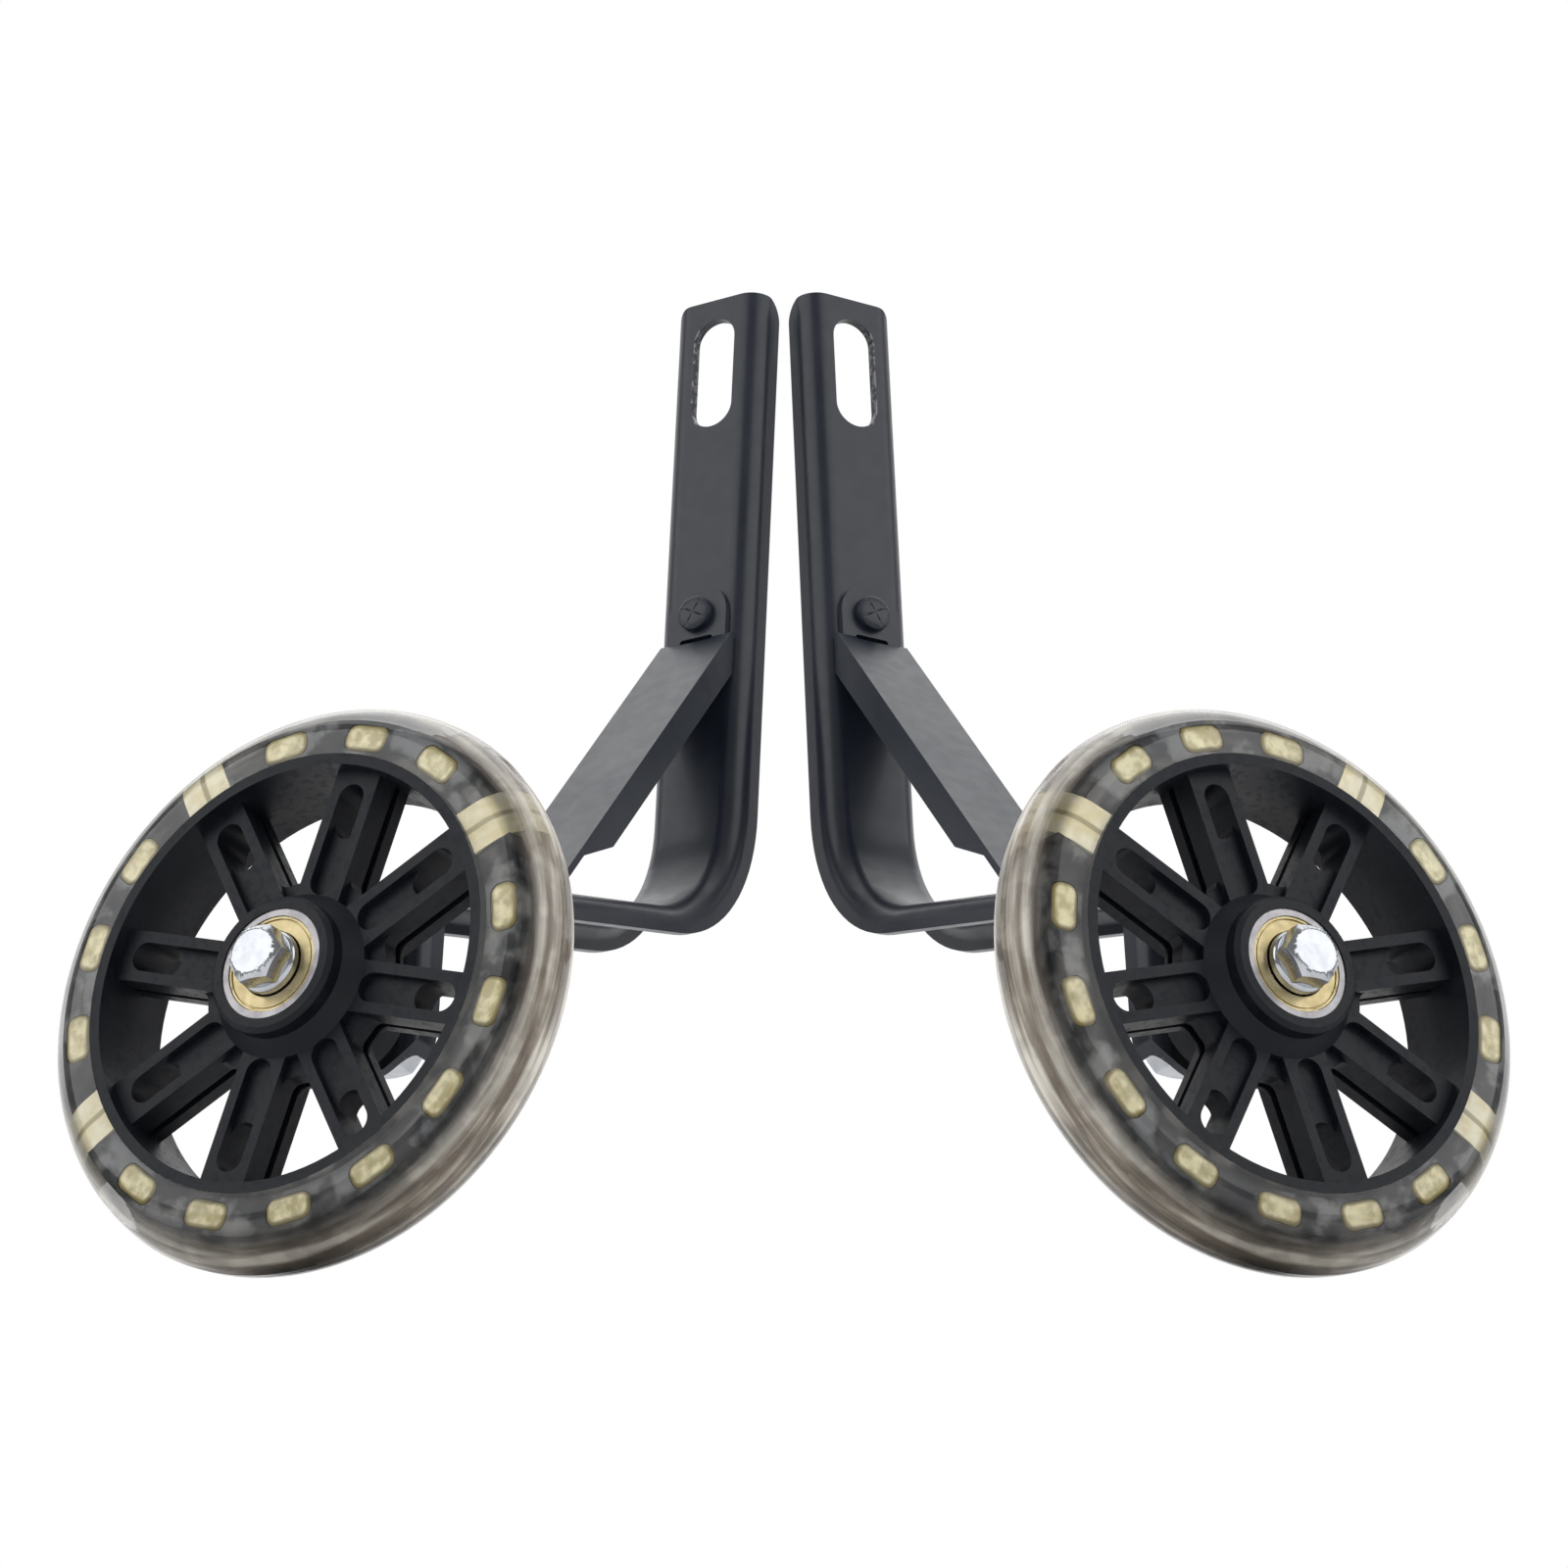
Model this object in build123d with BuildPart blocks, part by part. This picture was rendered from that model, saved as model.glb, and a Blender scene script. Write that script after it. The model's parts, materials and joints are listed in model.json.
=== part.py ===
"""A pair of clip-on training wheels for a child's bicycle.

Each unit is modelled once, in a local frame with its origin at the wheel's centre: X points
outboard along the axle, Y runs fore and aft, Z is up. The left unit is then turned and moved to
its place, and the right unit is its mirror image. All lengths are millimetres.
"""

import os
from math import cos, radians, sin, tan

from build123d import *

# Wheel
TYRE_DIAMETER = 113.0
TYRE_WIDTH = 18.8
TYRE_DEPTH = 12.5
TYRE_CROWN = 8.6
RIM_WIDTH = 19.6
RIM_WALL = 2.2
RIM_DRAFT = 0.4
ANCHOR_HEIGHT = 7.5
ANCHOR_THICKNESS = 15.0
HUB_WIDTH = 27.0
BOSS_DIAMETER = 27.4
BOSS_LENGTH = 3.6
BOSS_CHAMFER = 0.9
SKIRT_DIAMETER = 33.0
HUB_PLATE_DIAMETER = 40.0
HUB_BORE = 16.0
SPOKE_COUNT = 8
SPOKE_WIDTH = 10.2
BAY_CORNER = 2.0
SPOKE_DEPTH = 6.8
SPOKE_BACK_DEPTH = 2.8
GROOVE_WIDTH = 1.6
GROOVE_DEPTH = 1.0
GROOVE_OFFSET = 0.8
CHANNEL_DEPTH = 1.8
SPOKE_CHANNEL_WIDTH = 5.8
SPOKE_SLOT_LENGTH = 10.4
SPOKE_TIP_WALL = 2.4
WINDOW_LENGTH = 10.0
WINDOW_MARGIN = 0.95
WINDOW_CORNER = 2.2
MODULE_POSITIONS = (0, 4, 8)
MODULE_LENGTH = 10.0
MODULE_COVER = 1.4

# Ball bearings, series 608
BEARING_DIAMETER = 22.0
BEARING_BORE = 8.0
BEARING_WIDTH = 7.0
BALL_COUNT = 7
BALL_DIAMETER = 3.97
BALL_CLEARANCE = 0.05
INNER_LAND_DIAMETER = 12.1
OUTER_LAND_DIAMETER = 17.6
SHIELD_DIAMETER = 19.2
SHIELD_THICKNESS = 0.3
SHIELD_RECESS = 0.3
SHIELD_GAP = 0.35
CAGE_WIDTH = 5.2
CAGE_THICKNESS = 0.8
CAGE_CLEARANCE = 0.1
SEAT_RECESS = 0.3

# Axle hardware, thread M8
AXLE_CLEARANCE = 0.04
TAB_HOLE_CLEARANCE = 0.2
HEAD_ACROSS_FLATS = 10.6
HEAD_HEIGHT = 4.6
HEAD_DOME = 1.3
COLLAR_DIAMETER = 12.6
COLLAR_LENGTH = 2.0
COLLAR_CHAMFER = 0.6
SLEEVE_DIAMETER = 12.0
SPACER_DIAMETER = 11.8
WASHER_GAP = 0.2
WASHER_THICKNESS = 1.4
SPRING_WASHER_DIAMETER = 12.2
SPRING_WASHER_THICKNESS = 2.0
SPRING_WASHER_SPLIT = 1.2
NUT_ACROSS_FLATS = 13.0
NUT_HEIGHT = 6.5
NUT_CHAMFER = 0.6
BOLT_END_PROUD = 2.5
BOLT_END_CHAMFER = 1.0

# Bracket, pressed from sheet into a channel
SHEET = 2.0
CHANNEL_WIDTH = 22.6
FOLD_RADIUS = 5.0
ARM_OFFSET = 129.8
ARM_TOP = 217.4
ARM_FLANGE = 8.4
ARM_CORNER = 4.0
FLANGE_CORNER = 5.0
LEG_CORNER = 67.8
LEG_SLOPE = 18.5
LEG_FLANGE = 6.6
LEG_BEND = 34.0
TAB_OFFSET = 18.0
TAB_FLANGE = 8.0
TAB_BEND = 11.0
SLOT_WIDTH = 10.0
SLOT_LENGTH = 26.7
SLOT_DROP = 18.4

# Brace, folded from thinner sheet
BRACE_SHEET = 1.6
BRACE_WIDTH = 17.6
BRACE_FLANGE = 6.4
BRACE_TOP = 132.5
BRACE_FOOT = 67.8
BRACE_GAP = 0.4
FLANGE_RIDGE_CUT = 9.0
FLANGE_EDGE_CUT = 24.0
TONGUE_WIDTH = 14.4
RELIEF_LENGTH = 8.0
RELIEF_WIDTH = 1.2
RIVET_REACH = 6.0
RIVET_DIAMETER = 5.0
RIVET_HEAD = 8.0
RIVET_HEAD_HEIGHT = 2.0
RIVET_TAIL = 7.4
RIVET_TAIL_HEIGHT = 1.2
RIVET_CLEARANCE = 0.1

# Layout of the pair
WHEEL_SPREAD = 177.0
UNIT_YAW = 30.3
UNIT_LEAN = 2.5
WHEEL_PHASE = 27.9

# Sizes worked out from the ones above
tyre_radius = TYRE_DIAMETER / 2
rim_radius = tyre_radius - TYRE_DEPTH
rim_inner = rim_radius - RIM_WALL
anchor_radius = rim_radius + ANCHOR_HEIGHT
plate_radius = HUB_PLATE_DIAMETER / 2
boss_foot = HUB_WIDTH / 2 - BOSS_LENGTH
bearing_face = HUB_WIDTH / 2 - SEAT_RECESS
bearing_middle = bearing_face - BEARING_WIDTH / 2
bearing_back = bearing_face - BEARING_WIDTH
axle_radius = BEARING_BORE / 2 - AXLE_CLEARANCE
ball_radius = BALL_DIAMETER / 2
pitch_radius = (BEARING_BORE + BEARING_DIAMETER) / 4
window_step = 360 / (2 * SPOKE_COUNT)
window_radius = (rim_radius + anchor_radius) / 2
window_height = ANCHOR_HEIGHT - 2 * WINDOW_MARGIN
channel_tip = rim_inner - RIM_DRAFT - SPOKE_TIP_WALL
channel_root = SKIRT_DIAMETER / 2
plate_face = SPOKE_DEPTH - CHANNEL_DEPTH
plate_back = CHANNEL_DEPTH - SPOKE_BACK_DEPTH
groove_front = GROOVE_OFFSET + GROOVE_WIDTH / 2
groove_back = GROOVE_OFFSET - GROOVE_WIDTH / 2
slope_run = cos(radians(LEG_SLOPE))
slope_rise = sin(radians(LEG_SLOPE))
tab_back = TAB_OFFSET + SHEET
washer_back = tab_back + WASHER_THICKNESS
washer_diameter = CHANNEL_WIDTH - 2 * FOLD_RADIUS - 2 * WASHER_GAP
nut_face = washer_back + SPRING_WASHER_THICKNESS
nut_back = nut_face + NUT_HEIGHT
flange_depth = max(ARM_FLANGE, LEG_FLANGE, TAB_FLANGE)
slot_height = ARM_TOP - SLOT_DROP
rivet_height = BRACE_TOP + RIVET_REACH


def leg_height(x, above=0.0):
    """Height, at a place along X, of a line set square off the leg's upper face."""
    return LEG_CORNER - (x + ARM_OFFSET) * tan(radians(LEG_SLOPE)) + above / slope_run


def side_line(arm_depth, leg_depth, tab_depth):
    """Corners of the bracket's side profile, at given depths behind its face."""
    arm = -ARM_OFFSET - arm_depth
    tab = -TAB_OFFSET - tab_depth
    return [
        (arm, ARM_TOP),
        (arm, leg_height(arm, -leg_depth)),
        (tab, leg_height(tab, -leg_depth)),
        (tab, -CHANNEL_WIDTH / 2),
    ]


def ring(start, end, outer_diameter, bore_diameter):
    """A plain ring on the axle between two places along X."""
    with BuildPart() as part:
        with BuildSketch(Plane.YZ.offset(start)):
            Circle(outer_diameter / 2)
            Circle(bore_diameter / 2, mode=Mode.SUBTRACT)
        extrude(amount=end - start)
    return part.part


def turned(*profile):
    """A solid turned about the axle from points given as (place along X, radius)."""
    with BuildPart() as part:
        with BuildSketch(Plane.XZ):
            with BuildLine():
                Polyline(*profile, close=True)
            make_face()
        revolve(axis=Axis.X)
    return part.part


# Bracket: a channel section swept down the arm, along the leg and down the tab
arm_plane = Plane.YZ.offset(-ARM_OFFSET)
leg_plane = Plane(
    origin=(-BRACE_FOOT, 0, leg_height(-BRACE_FOOT)),
    x_dir=(slope_run, 0, -slope_rise),
    z_dir=(slope_rise, 0, slope_run),
)
face_line = side_line(0, 0, 0)
lip_line = side_line(ARM_FLANGE, LEG_FLANGE, TAB_FLANGE)
clear_line = side_line(2 * flange_depth, 2 * flange_depth, 2 * flange_depth)
with BuildPart() as lip_trim:
    with BuildSketch(Plane.XZ):
        with BuildLine():
            FilletPolyline(lip_line, radius=[LEG_BEND + LEG_FLANGE, TAB_BEND - TAB_FLANGE])
            Polyline(lip_line[-1], *reversed(clear_line), lip_line[0])
        make_face()
        with Locations(lip_line[0]):
            Rectangle(FLANGE_CORNER, FLANGE_CORNER, align=(Align.MIN, Align.MAX))
        with Locations((lip_line[0][0] + FLANGE_CORNER, lip_line[0][1] - FLANGE_CORNER)):
            Circle(FLANGE_CORNER, mode=Mode.SUBTRACT)
    extrude(amount=CHANNEL_WIDTH, both=True)
with BuildPart() as bracket_front:
    with BuildSketch(Plane.YZ):
        with Locations((0, ARM_TOP / 2)):
            Rectangle(CHANNEL_WIDTH, ARM_TOP)
        fillet(vertices().group_by(Axis.Y)[-1].sort_by(Axis.X)[0], ARM_CORNER)
        Circle(CHANNEL_WIDTH / 2)
    extrude(amount=clear_line[0][0])
with BuildPart() as bracket:
    with BuildLine(Plane.XZ) as bracket_path:
        FilletPolyline(face_line, radius=[LEG_BEND, TAB_BEND])
    with BuildSketch(Plane.XY.offset(ARM_TOP)):
        with Locations((-ARM_OFFSET, 0)):
            Rectangle(flange_depth, CHANNEL_WIDTH, align=(Align.MAX, Align.CENTER))
        fillet(vertices().group_by(Axis.X)[-1], FOLD_RADIUS)
        with BuildSketch(mode=Mode.SUBTRACT):
            with Locations((-ARM_OFFSET - SHEET, 0)):
                Rectangle(flange_depth, CHANNEL_WIDTH - 2 * SHEET, align=(Align.MAX, Align.CENTER))
            fillet(vertices().group_by(Axis.X)[-1], FOLD_RADIUS - SHEET)
    sweep(path=bracket_path.line)
    add(lip_trim.part, mode=Mode.SUBTRACT)
    add(bracket_front.part, mode=Mode.INTERSECT)
    with BuildSketch(arm_plane):
        with Locations((0, slot_height)):
            SlotOverall(SLOT_LENGTH, SLOT_WIDTH, rotation=90)
        with Locations((0, rivet_height)):
            Circle(RIVET_DIAMETER / 2 + RIVET_CLEARANCE)
    extrude(amount=-SHEET, mode=Mode.SUBTRACT)
    with BuildSketch(leg_plane):
        with Locations((RIVET_REACH, 0)):
            Circle(RIVET_DIAMETER / 2 + RIVET_CLEARANCE)
    extrude(amount=-SHEET, mode=Mode.SUBTRACT)
    with BuildSketch(Plane.YZ.offset(-TAB_OFFSET)):
        Circle(BEARING_BORE / 2 + TAB_HOLE_CLEARANCE)
    extrude(amount=-SHEET, mode=Mode.SUBTRACT)

# Brace: a flanged strut between a tongue on the arm and a tongue on the leg
strut_top = Vector(-ARM_OFFSET + BRACE_SHEET, BRACE_TOP)
strut_foot = Vector(-BRACE_FOOT, leg_height(-BRACE_FOOT, BRACE_SHEET))
strut_run = (strut_foot - strut_top).normalized()
strut_up = Vector(-strut_run.Y, strut_run.X)


def strut_line(depth, x):
    """Point at a place along X on a line parallel to the strut, a given depth under its face."""
    start = strut_top - strut_up * depth
    return (x, start.Y + (x - start.X) * strut_run.Y / strut_run.X)


sheet_top = strut_line(BRACE_SHEET, -ARM_OFFSET)
sheet_drop = leg_height(sheet_top[0]) - sheet_top[1]
sheet_slope = strut_run.Y / strut_run.X + tan(radians(LEG_SLOPE))
sheet_foot = strut_line(BRACE_SHEET, sheet_top[0] + sheet_drop / sheet_slope)
foot_tongue = RIVET_REACH - (sheet_foot[0] + BRACE_FOOT) / slope_run
flange_ridge = strut_foot - strut_run * FLANGE_RIDGE_CUT
flange_edge = strut_foot - strut_run * FLANGE_EDGE_CUT - strut_up * BRACE_FLANGE
with BuildPart() as brace:
    with BuildSketch(Plane.XZ):
        with BuildLine():
            Polyline(strut_top, strut_foot, sheet_foot, sheet_top, close=True)
        make_face()
    extrude(amount=BRACE_WIDTH / 2, both=True)
    with BuildSketch(Plane.XZ.offset(-BRACE_WIDTH / 2)):
        with BuildLine():
            Polyline(
                strut_top,
                flange_ridge,
                flange_edge,
                strut_line(BRACE_FLANGE, -ARM_OFFSET + BRACE_GAP),
                (-ARM_OFFSET + BRACE_GAP, strut_line(0, -ARM_OFFSET + BRACE_GAP)[1] - BRACE_SHEET),
                close=True,
            )
        make_face()
    extrude(amount=BRACE_SHEET)
    mirror(about=Plane.XZ)
    with BuildSketch(arm_plane):
        with Locations((0, rivet_height)):
            Circle(TONGUE_WIDTH / 2)
            Rectangle(TONGUE_WIDTH, rivet_height - sheet_top[1], align=(Align.CENTER, Align.MAX))
            Circle(RIVET_DIAMETER / 2 + RIVET_CLEARANCE, mode=Mode.SUBTRACT)
    extrude(amount=BRACE_SHEET)
    with BuildSketch(leg_plane):
        with Locations((RIVET_REACH, 0)):
            Circle(TONGUE_WIDTH / 2)
            Rectangle(foot_tongue, TONGUE_WIDTH, align=(Align.MAX, Align.CENTER))
            Circle(RIVET_DIAMETER / 2 + RIVET_CLEARANCE, mode=Mode.SUBTRACT)
    extrude(amount=BRACE_SHEET)
    with BuildSketch(arm_plane):
        with Locations((0, BRACE_TOP)):
            SlotOverall(RELIEF_LENGTH, RELIEF_WIDTH)
    extrude(amount=BRACE_SHEET + RELIEF_WIDTH, mode=Mode.SUBTRACT)

# Rivets: a domed head over the tongue and a set tail inside the channel
with BuildPart() as rivet:
    with BuildSketch(Plane.XZ):
        with BuildLine():
            Polyline(
                (0, BRACE_SHEET + RIVET_HEAD_HEIGHT),
                (0, -SHEET - RIVET_TAIL_HEIGHT),
                (RIVET_TAIL / 2, -SHEET - RIVET_TAIL_HEIGHT),
                (RIVET_TAIL / 2, -SHEET),
                (RIVET_DIAMETER / 2, -SHEET),
                (RIVET_DIAMETER / 2, BRACE_SHEET),
                (RIVET_HEAD / 2, BRACE_SHEET),
            )
            RadiusArc(
                (RIVET_HEAD / 2, BRACE_SHEET),
                (0, BRACE_SHEET + RIVET_HEAD_HEIGHT),
                -(RIVET_HEAD**2 / 4 + RIVET_HEAD_HEIGHT**2) / (2 * RIVET_HEAD_HEIGHT),
            )
        make_face()
    revolve(axis=Axis.Z)
with BuildPart() as brace_rivets:
    with Locations(arm_plane.shift_origin((-ARM_OFFSET, 0, rivet_height))):
        add(rivet.part)
    with Locations(leg_plane * Pos(RIVET_REACH, 0, 0)):
        add(rivet.part)

# Hub core: bearing barrel, rim, anchor flange and deep spokes with a groove along their sides
barrel_half = [
    (bearing_back, HUB_BORE / 2),
    (bearing_back, BEARING_DIAMETER / 2),
    (HUB_WIDTH / 2, BEARING_DIAMETER / 2),
    (HUB_WIDTH / 2, BOSS_DIAMETER / 2 - BOSS_CHAMFER),
    (HUB_WIDTH / 2 - BOSS_CHAMFER, BOSS_DIAMETER / 2),
    (boss_foot, BOSS_DIAMETER / 2),
    (SPOKE_DEPTH, SKIRT_DIAMETER / 2),
]
rim_half = [
    (0, rim_inner - RIM_DRAFT),
    (RIM_WIDTH / 2, rim_inner),
    (RIM_WIDTH / 2, rim_radius),
]
module_spots = [window_step * position for position in MODULE_POSITIONS]
window_spots = [window_step * k for k in range(2 * SPOKE_COUNT) if k not in MODULE_POSITIONS]


def spoke_layer(start, end, width, plate=0.0):
    """Spokes of one width between two places along X, with a hub plate of a given radius."""
    with BuildPart() as layer:
        with BuildSketch(Plane.YZ.offset(start)):
            with PolarLocations(rim_inner / 2, SPOKE_COUNT):
                Rectangle(rim_inner, width)
            if plate:
                Circle(plate)
                fillet([v for v in vertices() if Vector(v).length < plate + BAY_CORNER], BAY_CORNER)
            Circle(BEARING_DIAMETER / 2, mode=Mode.SUBTRACT)
            Circle(rim_radius - RIM_WALL / 2, mode=Mode.INTERSECT)
        extrude(amount=end - start)
    return layer.part


with BuildPart() as hub_core:
    add(turned(*barrel_half, *[(-x, r) for x, r in reversed(barrel_half)]))
    add(turned(*rim_half, *[(-x, r) for x, r in reversed(rim_half[1:])]))
    with BuildSketch(Plane.YZ):
        Circle(anchor_radius)
        Circle(rim_radius - RIM_WALL / 2, mode=Mode.SUBTRACT)
        for angle in window_spots:
            with PolarLocations(window_radius, 1, angle):
                RectangleRounded(window_height, WINDOW_LENGTH, WINDOW_CORNER, mode=Mode.SUBTRACT)
        for angle in module_spots:
            with PolarLocations(rim_radius, 1, angle):
                Rectangle(
                    2 * (anchor_radius - rim_radius) + RIM_WALL / 2,
                    MODULE_LENGTH,
                    align=(Align.MIN, Align.CENTER),
                    mode=Mode.SUBTRACT,
                )
    extrude(amount=ANCHOR_THICKNESS / 2, both=True)
    add(spoke_layer(plate_back, plate_face, SPOKE_WIDTH - 2 * GROOVE_DEPTH))
    for start, face, tip in (
        (groove_front, plate_face, SPOKE_DEPTH),
        (groove_back, plate_back, -SPOKE_BACK_DEPTH),
    ):
        add(spoke_layer(start, face, SPOKE_WIDTH, plate_radius))
        add(spoke_layer(face, tip, SPOKE_WIDTH))
        with BuildSketch(Plane.YZ.offset(face)):
            with PolarLocations((channel_tip + channel_root) / 2, SPOKE_COUNT):
                SlotOverall(channel_tip - channel_root, SPOKE_CHANNEL_WIDTH)
        extrude(amount=tip - face, mode=Mode.SUBTRACT)
    with BuildSketch(Plane.YZ):
        with PolarLocations(channel_tip - SPOKE_SLOT_LENGTH / 2, SPOKE_COUNT):
            SlotOverall(SPOKE_SLOT_LENGTH, SPOKE_CHANNEL_WIDTH)
    extrude(amount=SPOKE_DEPTH, both=True, mode=Mode.SUBTRACT)

# Light modules: arched blocks that sit on the rim, in notches of the anchor flange
def tyre_shape(cover=0.0):
    """The tyre's outer shape without its core, set in by a given cover."""
    edge = (RIM_WIDTH / 2 - cover, rim_radius)
    side = (TYRE_WIDTH / 2 - cover, tyre_radius - TYRE_CROWN)
    with BuildPart() as shape:
        with BuildSketch(Plane.XZ):
            with BuildLine():
                Polyline((-side[0], side[1]), (-edge[0], edge[1]), edge, side)
                ThreePointArc(side, (0, tyre_radius - cover), (-side[0], side[1]))
            make_face()
        revolve(axis=Axis.X)
    return shape.part


with BuildPart() as module_blocks:
    with BuildSketch(Plane.YZ):
        for angle in module_spots:
            with PolarLocations(tyre_radius / 2, 1, angle):
                Rectangle(tyre_radius, MODULE_LENGTH)
    extrude(amount=RIM_WIDTH / 2, both=True)
with BuildPart() as light_modules:
    add(tyre_shape(MODULE_COVER))
    add(module_blocks.part, mode=Mode.INTERSECT)
    add(hub_core.part, mode=Mode.SUBTRACT)

# Tyre: clear moulding round the anchor flange, through its windows and over the modules
with BuildPart() as tyre:
    add(tyre_shape())
    add(hub_core.part, mode=Mode.SUBTRACT)
    add(light_modules.part, mode=Mode.SUBTRACT)


# Bearings: races, shields, balls and a cage, the same at both ends of the hub
def bearing(middle):
    """The pieces of one ball bearing, centred at a place along X."""
    with BuildSketch(Plane.XZ) as groove:
        with Locations((middle, pitch_radius)):
            Circle(ball_radius + BALL_CLEARANCE)
    with BuildPart() as inner_race:
        with BuildSketch(Plane.XZ):
            with Locations((middle, BEARING_BORE / 2)):
                Rectangle(
                    BEARING_WIDTH,
                    (INNER_LAND_DIAMETER - BEARING_BORE) / 2,
                    align=(Align.CENTER, Align.MIN),
                )
            add(groove.sketch_local, mode=Mode.SUBTRACT)
        revolve(axis=Axis.X)
    with BuildPart() as outer_race:
        with BuildSketch(Plane.XZ):
            with Locations((middle, BEARING_DIAMETER / 2)):
                Rectangle(
                    BEARING_WIDTH,
                    (BEARING_DIAMETER - SHIELD_DIAMETER) / 2,
                    align=(Align.CENTER, Align.MAX),
                )
                Rectangle(
                    BEARING_WIDTH - 2 * (SHIELD_RECESS + SHIELD_THICKNESS),
                    (BEARING_DIAMETER - OUTER_LAND_DIAMETER) / 2,
                    align=(Align.CENTER, Align.MAX),
                )
            add(groove.sketch_local, mode=Mode.SUBTRACT)
        revolve(axis=Axis.X)
    shield_place = BEARING_WIDTH / 2 - SHIELD_RECESS - SHIELD_THICKNESS / 2
    with BuildPart() as shields:
        for side in (-1, 1):
            with BuildSketch(Plane.YZ.offset(middle + side * shield_place)):
                Circle(SHIELD_DIAMETER / 2)
                Circle(INNER_LAND_DIAMETER / 2 + SHIELD_GAP, mode=Mode.SUBTRACT)
            extrude(amount=SHIELD_THICKNESS / 2, both=True)
    ball_plane = Plane.YZ.offset(middle)
    with BuildPart() as balls:
        with Locations(ball_plane):
            with PolarLocations(pitch_radius, BALL_COUNT):
                Sphere(ball_radius)
    with BuildPart() as cage:
        with BuildSketch(ball_plane):
            Circle(pitch_radius + CAGE_THICKNESS / 2)
            Circle(pitch_radius - CAGE_THICKNESS / 2, mode=Mode.SUBTRACT)
        extrude(amount=CAGE_WIDTH / 2, both=True)
        with Locations(ball_plane):
            with PolarLocations(pitch_radius, BALL_COUNT):
                Cylinder(
                    ball_radius + CAGE_CLEARANCE,
                    ball_radius,
                    rotation=(0, 90, 0),
                    mode=Mode.SUBTRACT,
                )
    return {
        "inner_race": inner_race.part,
        "outer_race": outer_race.part,
        "shields": shields.part,
        "balls": balls.part,
        "cage": cage.part,
    }


# Axle hardware: head bolt, collar, sleeve, spacer, washers and nut
axle_bore = 2 * axle_radius + 2 * AXLE_CLEARANCE
head_seat = bearing_face + COLLAR_LENGTH
head_top = head_seat + HEAD_HEIGHT
head_corner = HEAD_ACROSS_FLATS / (2 * cos(radians(30)))
with BuildPart() as axle_bolt:
    with BuildSketch(Plane.YZ.offset(head_seat)):
        RegularPolygon(HEAD_ACROSS_FLATS / 2, 6, major_radius=False)
    extrude(amount=HEAD_HEIGHT)
    add(
        turned(
            (head_seat, 0),
            (head_seat, head_corner),
            (head_top - HEAD_DOME, head_corner),
            (head_top, HEAD_ACROSS_FLATS / 2 - HEAD_DOME),
            (head_top, 0),
        ),
        mode=Mode.INTERSECT,
    )
    bolt_end = -nut_back - BOLT_END_PROUD
    add(
        turned(
            (head_seat, 0),
            (head_seat, axle_radius),
            (bolt_end + BOLT_END_CHAMFER, axle_radius),
            (bolt_end, axle_radius - BOLT_END_CHAMFER),
            (bolt_end, 0),
        )
    )
nut_corner = NUT_ACROSS_FLATS / (2 * cos(radians(30)))
with BuildPart() as axle_nut:
    with BuildSketch(Plane.YZ.offset(-nut_back)):
        RegularPolygon(NUT_ACROSS_FLATS / 2, 6, major_radius=False)
        Circle(axle_bore / 2, mode=Mode.SUBTRACT)
    extrude(amount=NUT_HEIGHT)
    add(
        turned(
            (-nut_back, 0),
            (-nut_back, NUT_ACROSS_FLATS / 2),
            (-nut_back + NUT_CHAMFER, nut_corner),
            (-nut_face - NUT_CHAMFER, nut_corner),
            (-nut_face, NUT_ACROSS_FLATS / 2),
            (-nut_face, 0),
        ),
        mode=Mode.INTERSECT,
    )
axle_collar = turned(
    (bearing_face, axle_bore / 2),
    (bearing_face, COLLAR_DIAMETER / 2),
    (head_seat - COLLAR_CHAMFER, COLLAR_DIAMETER / 2),
    (head_seat, COLLAR_DIAMETER / 2 - COLLAR_CHAMFER),
    (head_seat, axle_bore / 2),
)
with BuildPart() as spring_washer:
    add(ring(-nut_face, -washer_back, SPRING_WASHER_DIAMETER, axle_bore))
    with BuildSketch(Plane.YZ.offset(-nut_face)):
        Rectangle(SPRING_WASHER_DIAMETER, SPRING_WASHER_SPLIT, align=(Align.MIN, Align.CENTER))
    extrude(amount=SPRING_WASHER_THICKNESS, mode=Mode.SUBTRACT)

# The unit's pieces: those that stand still, and those that turn with the wheel
outboard = bearing(bearing_middle)
inboard = bearing(-bearing_middle)
pieces = {
    "bracket": bracket.part,
    "brace": brace.part,
    "brace_rivets": brace_rivets.part,
    "axle_bolt": axle_bolt.part,
    "axle_collar": axle_collar,
    "magnet_sleeve": ring(-bearing_back, bearing_back, SLEEVE_DIAMETER, axle_bore),
    "tab_spacer": ring(-TAB_OFFSET, -bearing_face, SPACER_DIAMETER, axle_bore),
    "flat_washer": ring(-washer_back, -tab_back, washer_diameter, axle_bore),
    "spring_washer": spring_washer.part,
    "axle_nut": axle_nut.part,
}
for name, part in outboard.items():
    pieces["outboard_" + name] = part
for name, part in inboard.items():
    pieces["inboard_" + name] = part
for name, item in (("hub_core", hub_core), ("tyre", tyre), ("light_modules", light_modules)):
    pieces[name] = Rotation(WHEEL_PHASE, 0, 0) * item.part

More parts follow.
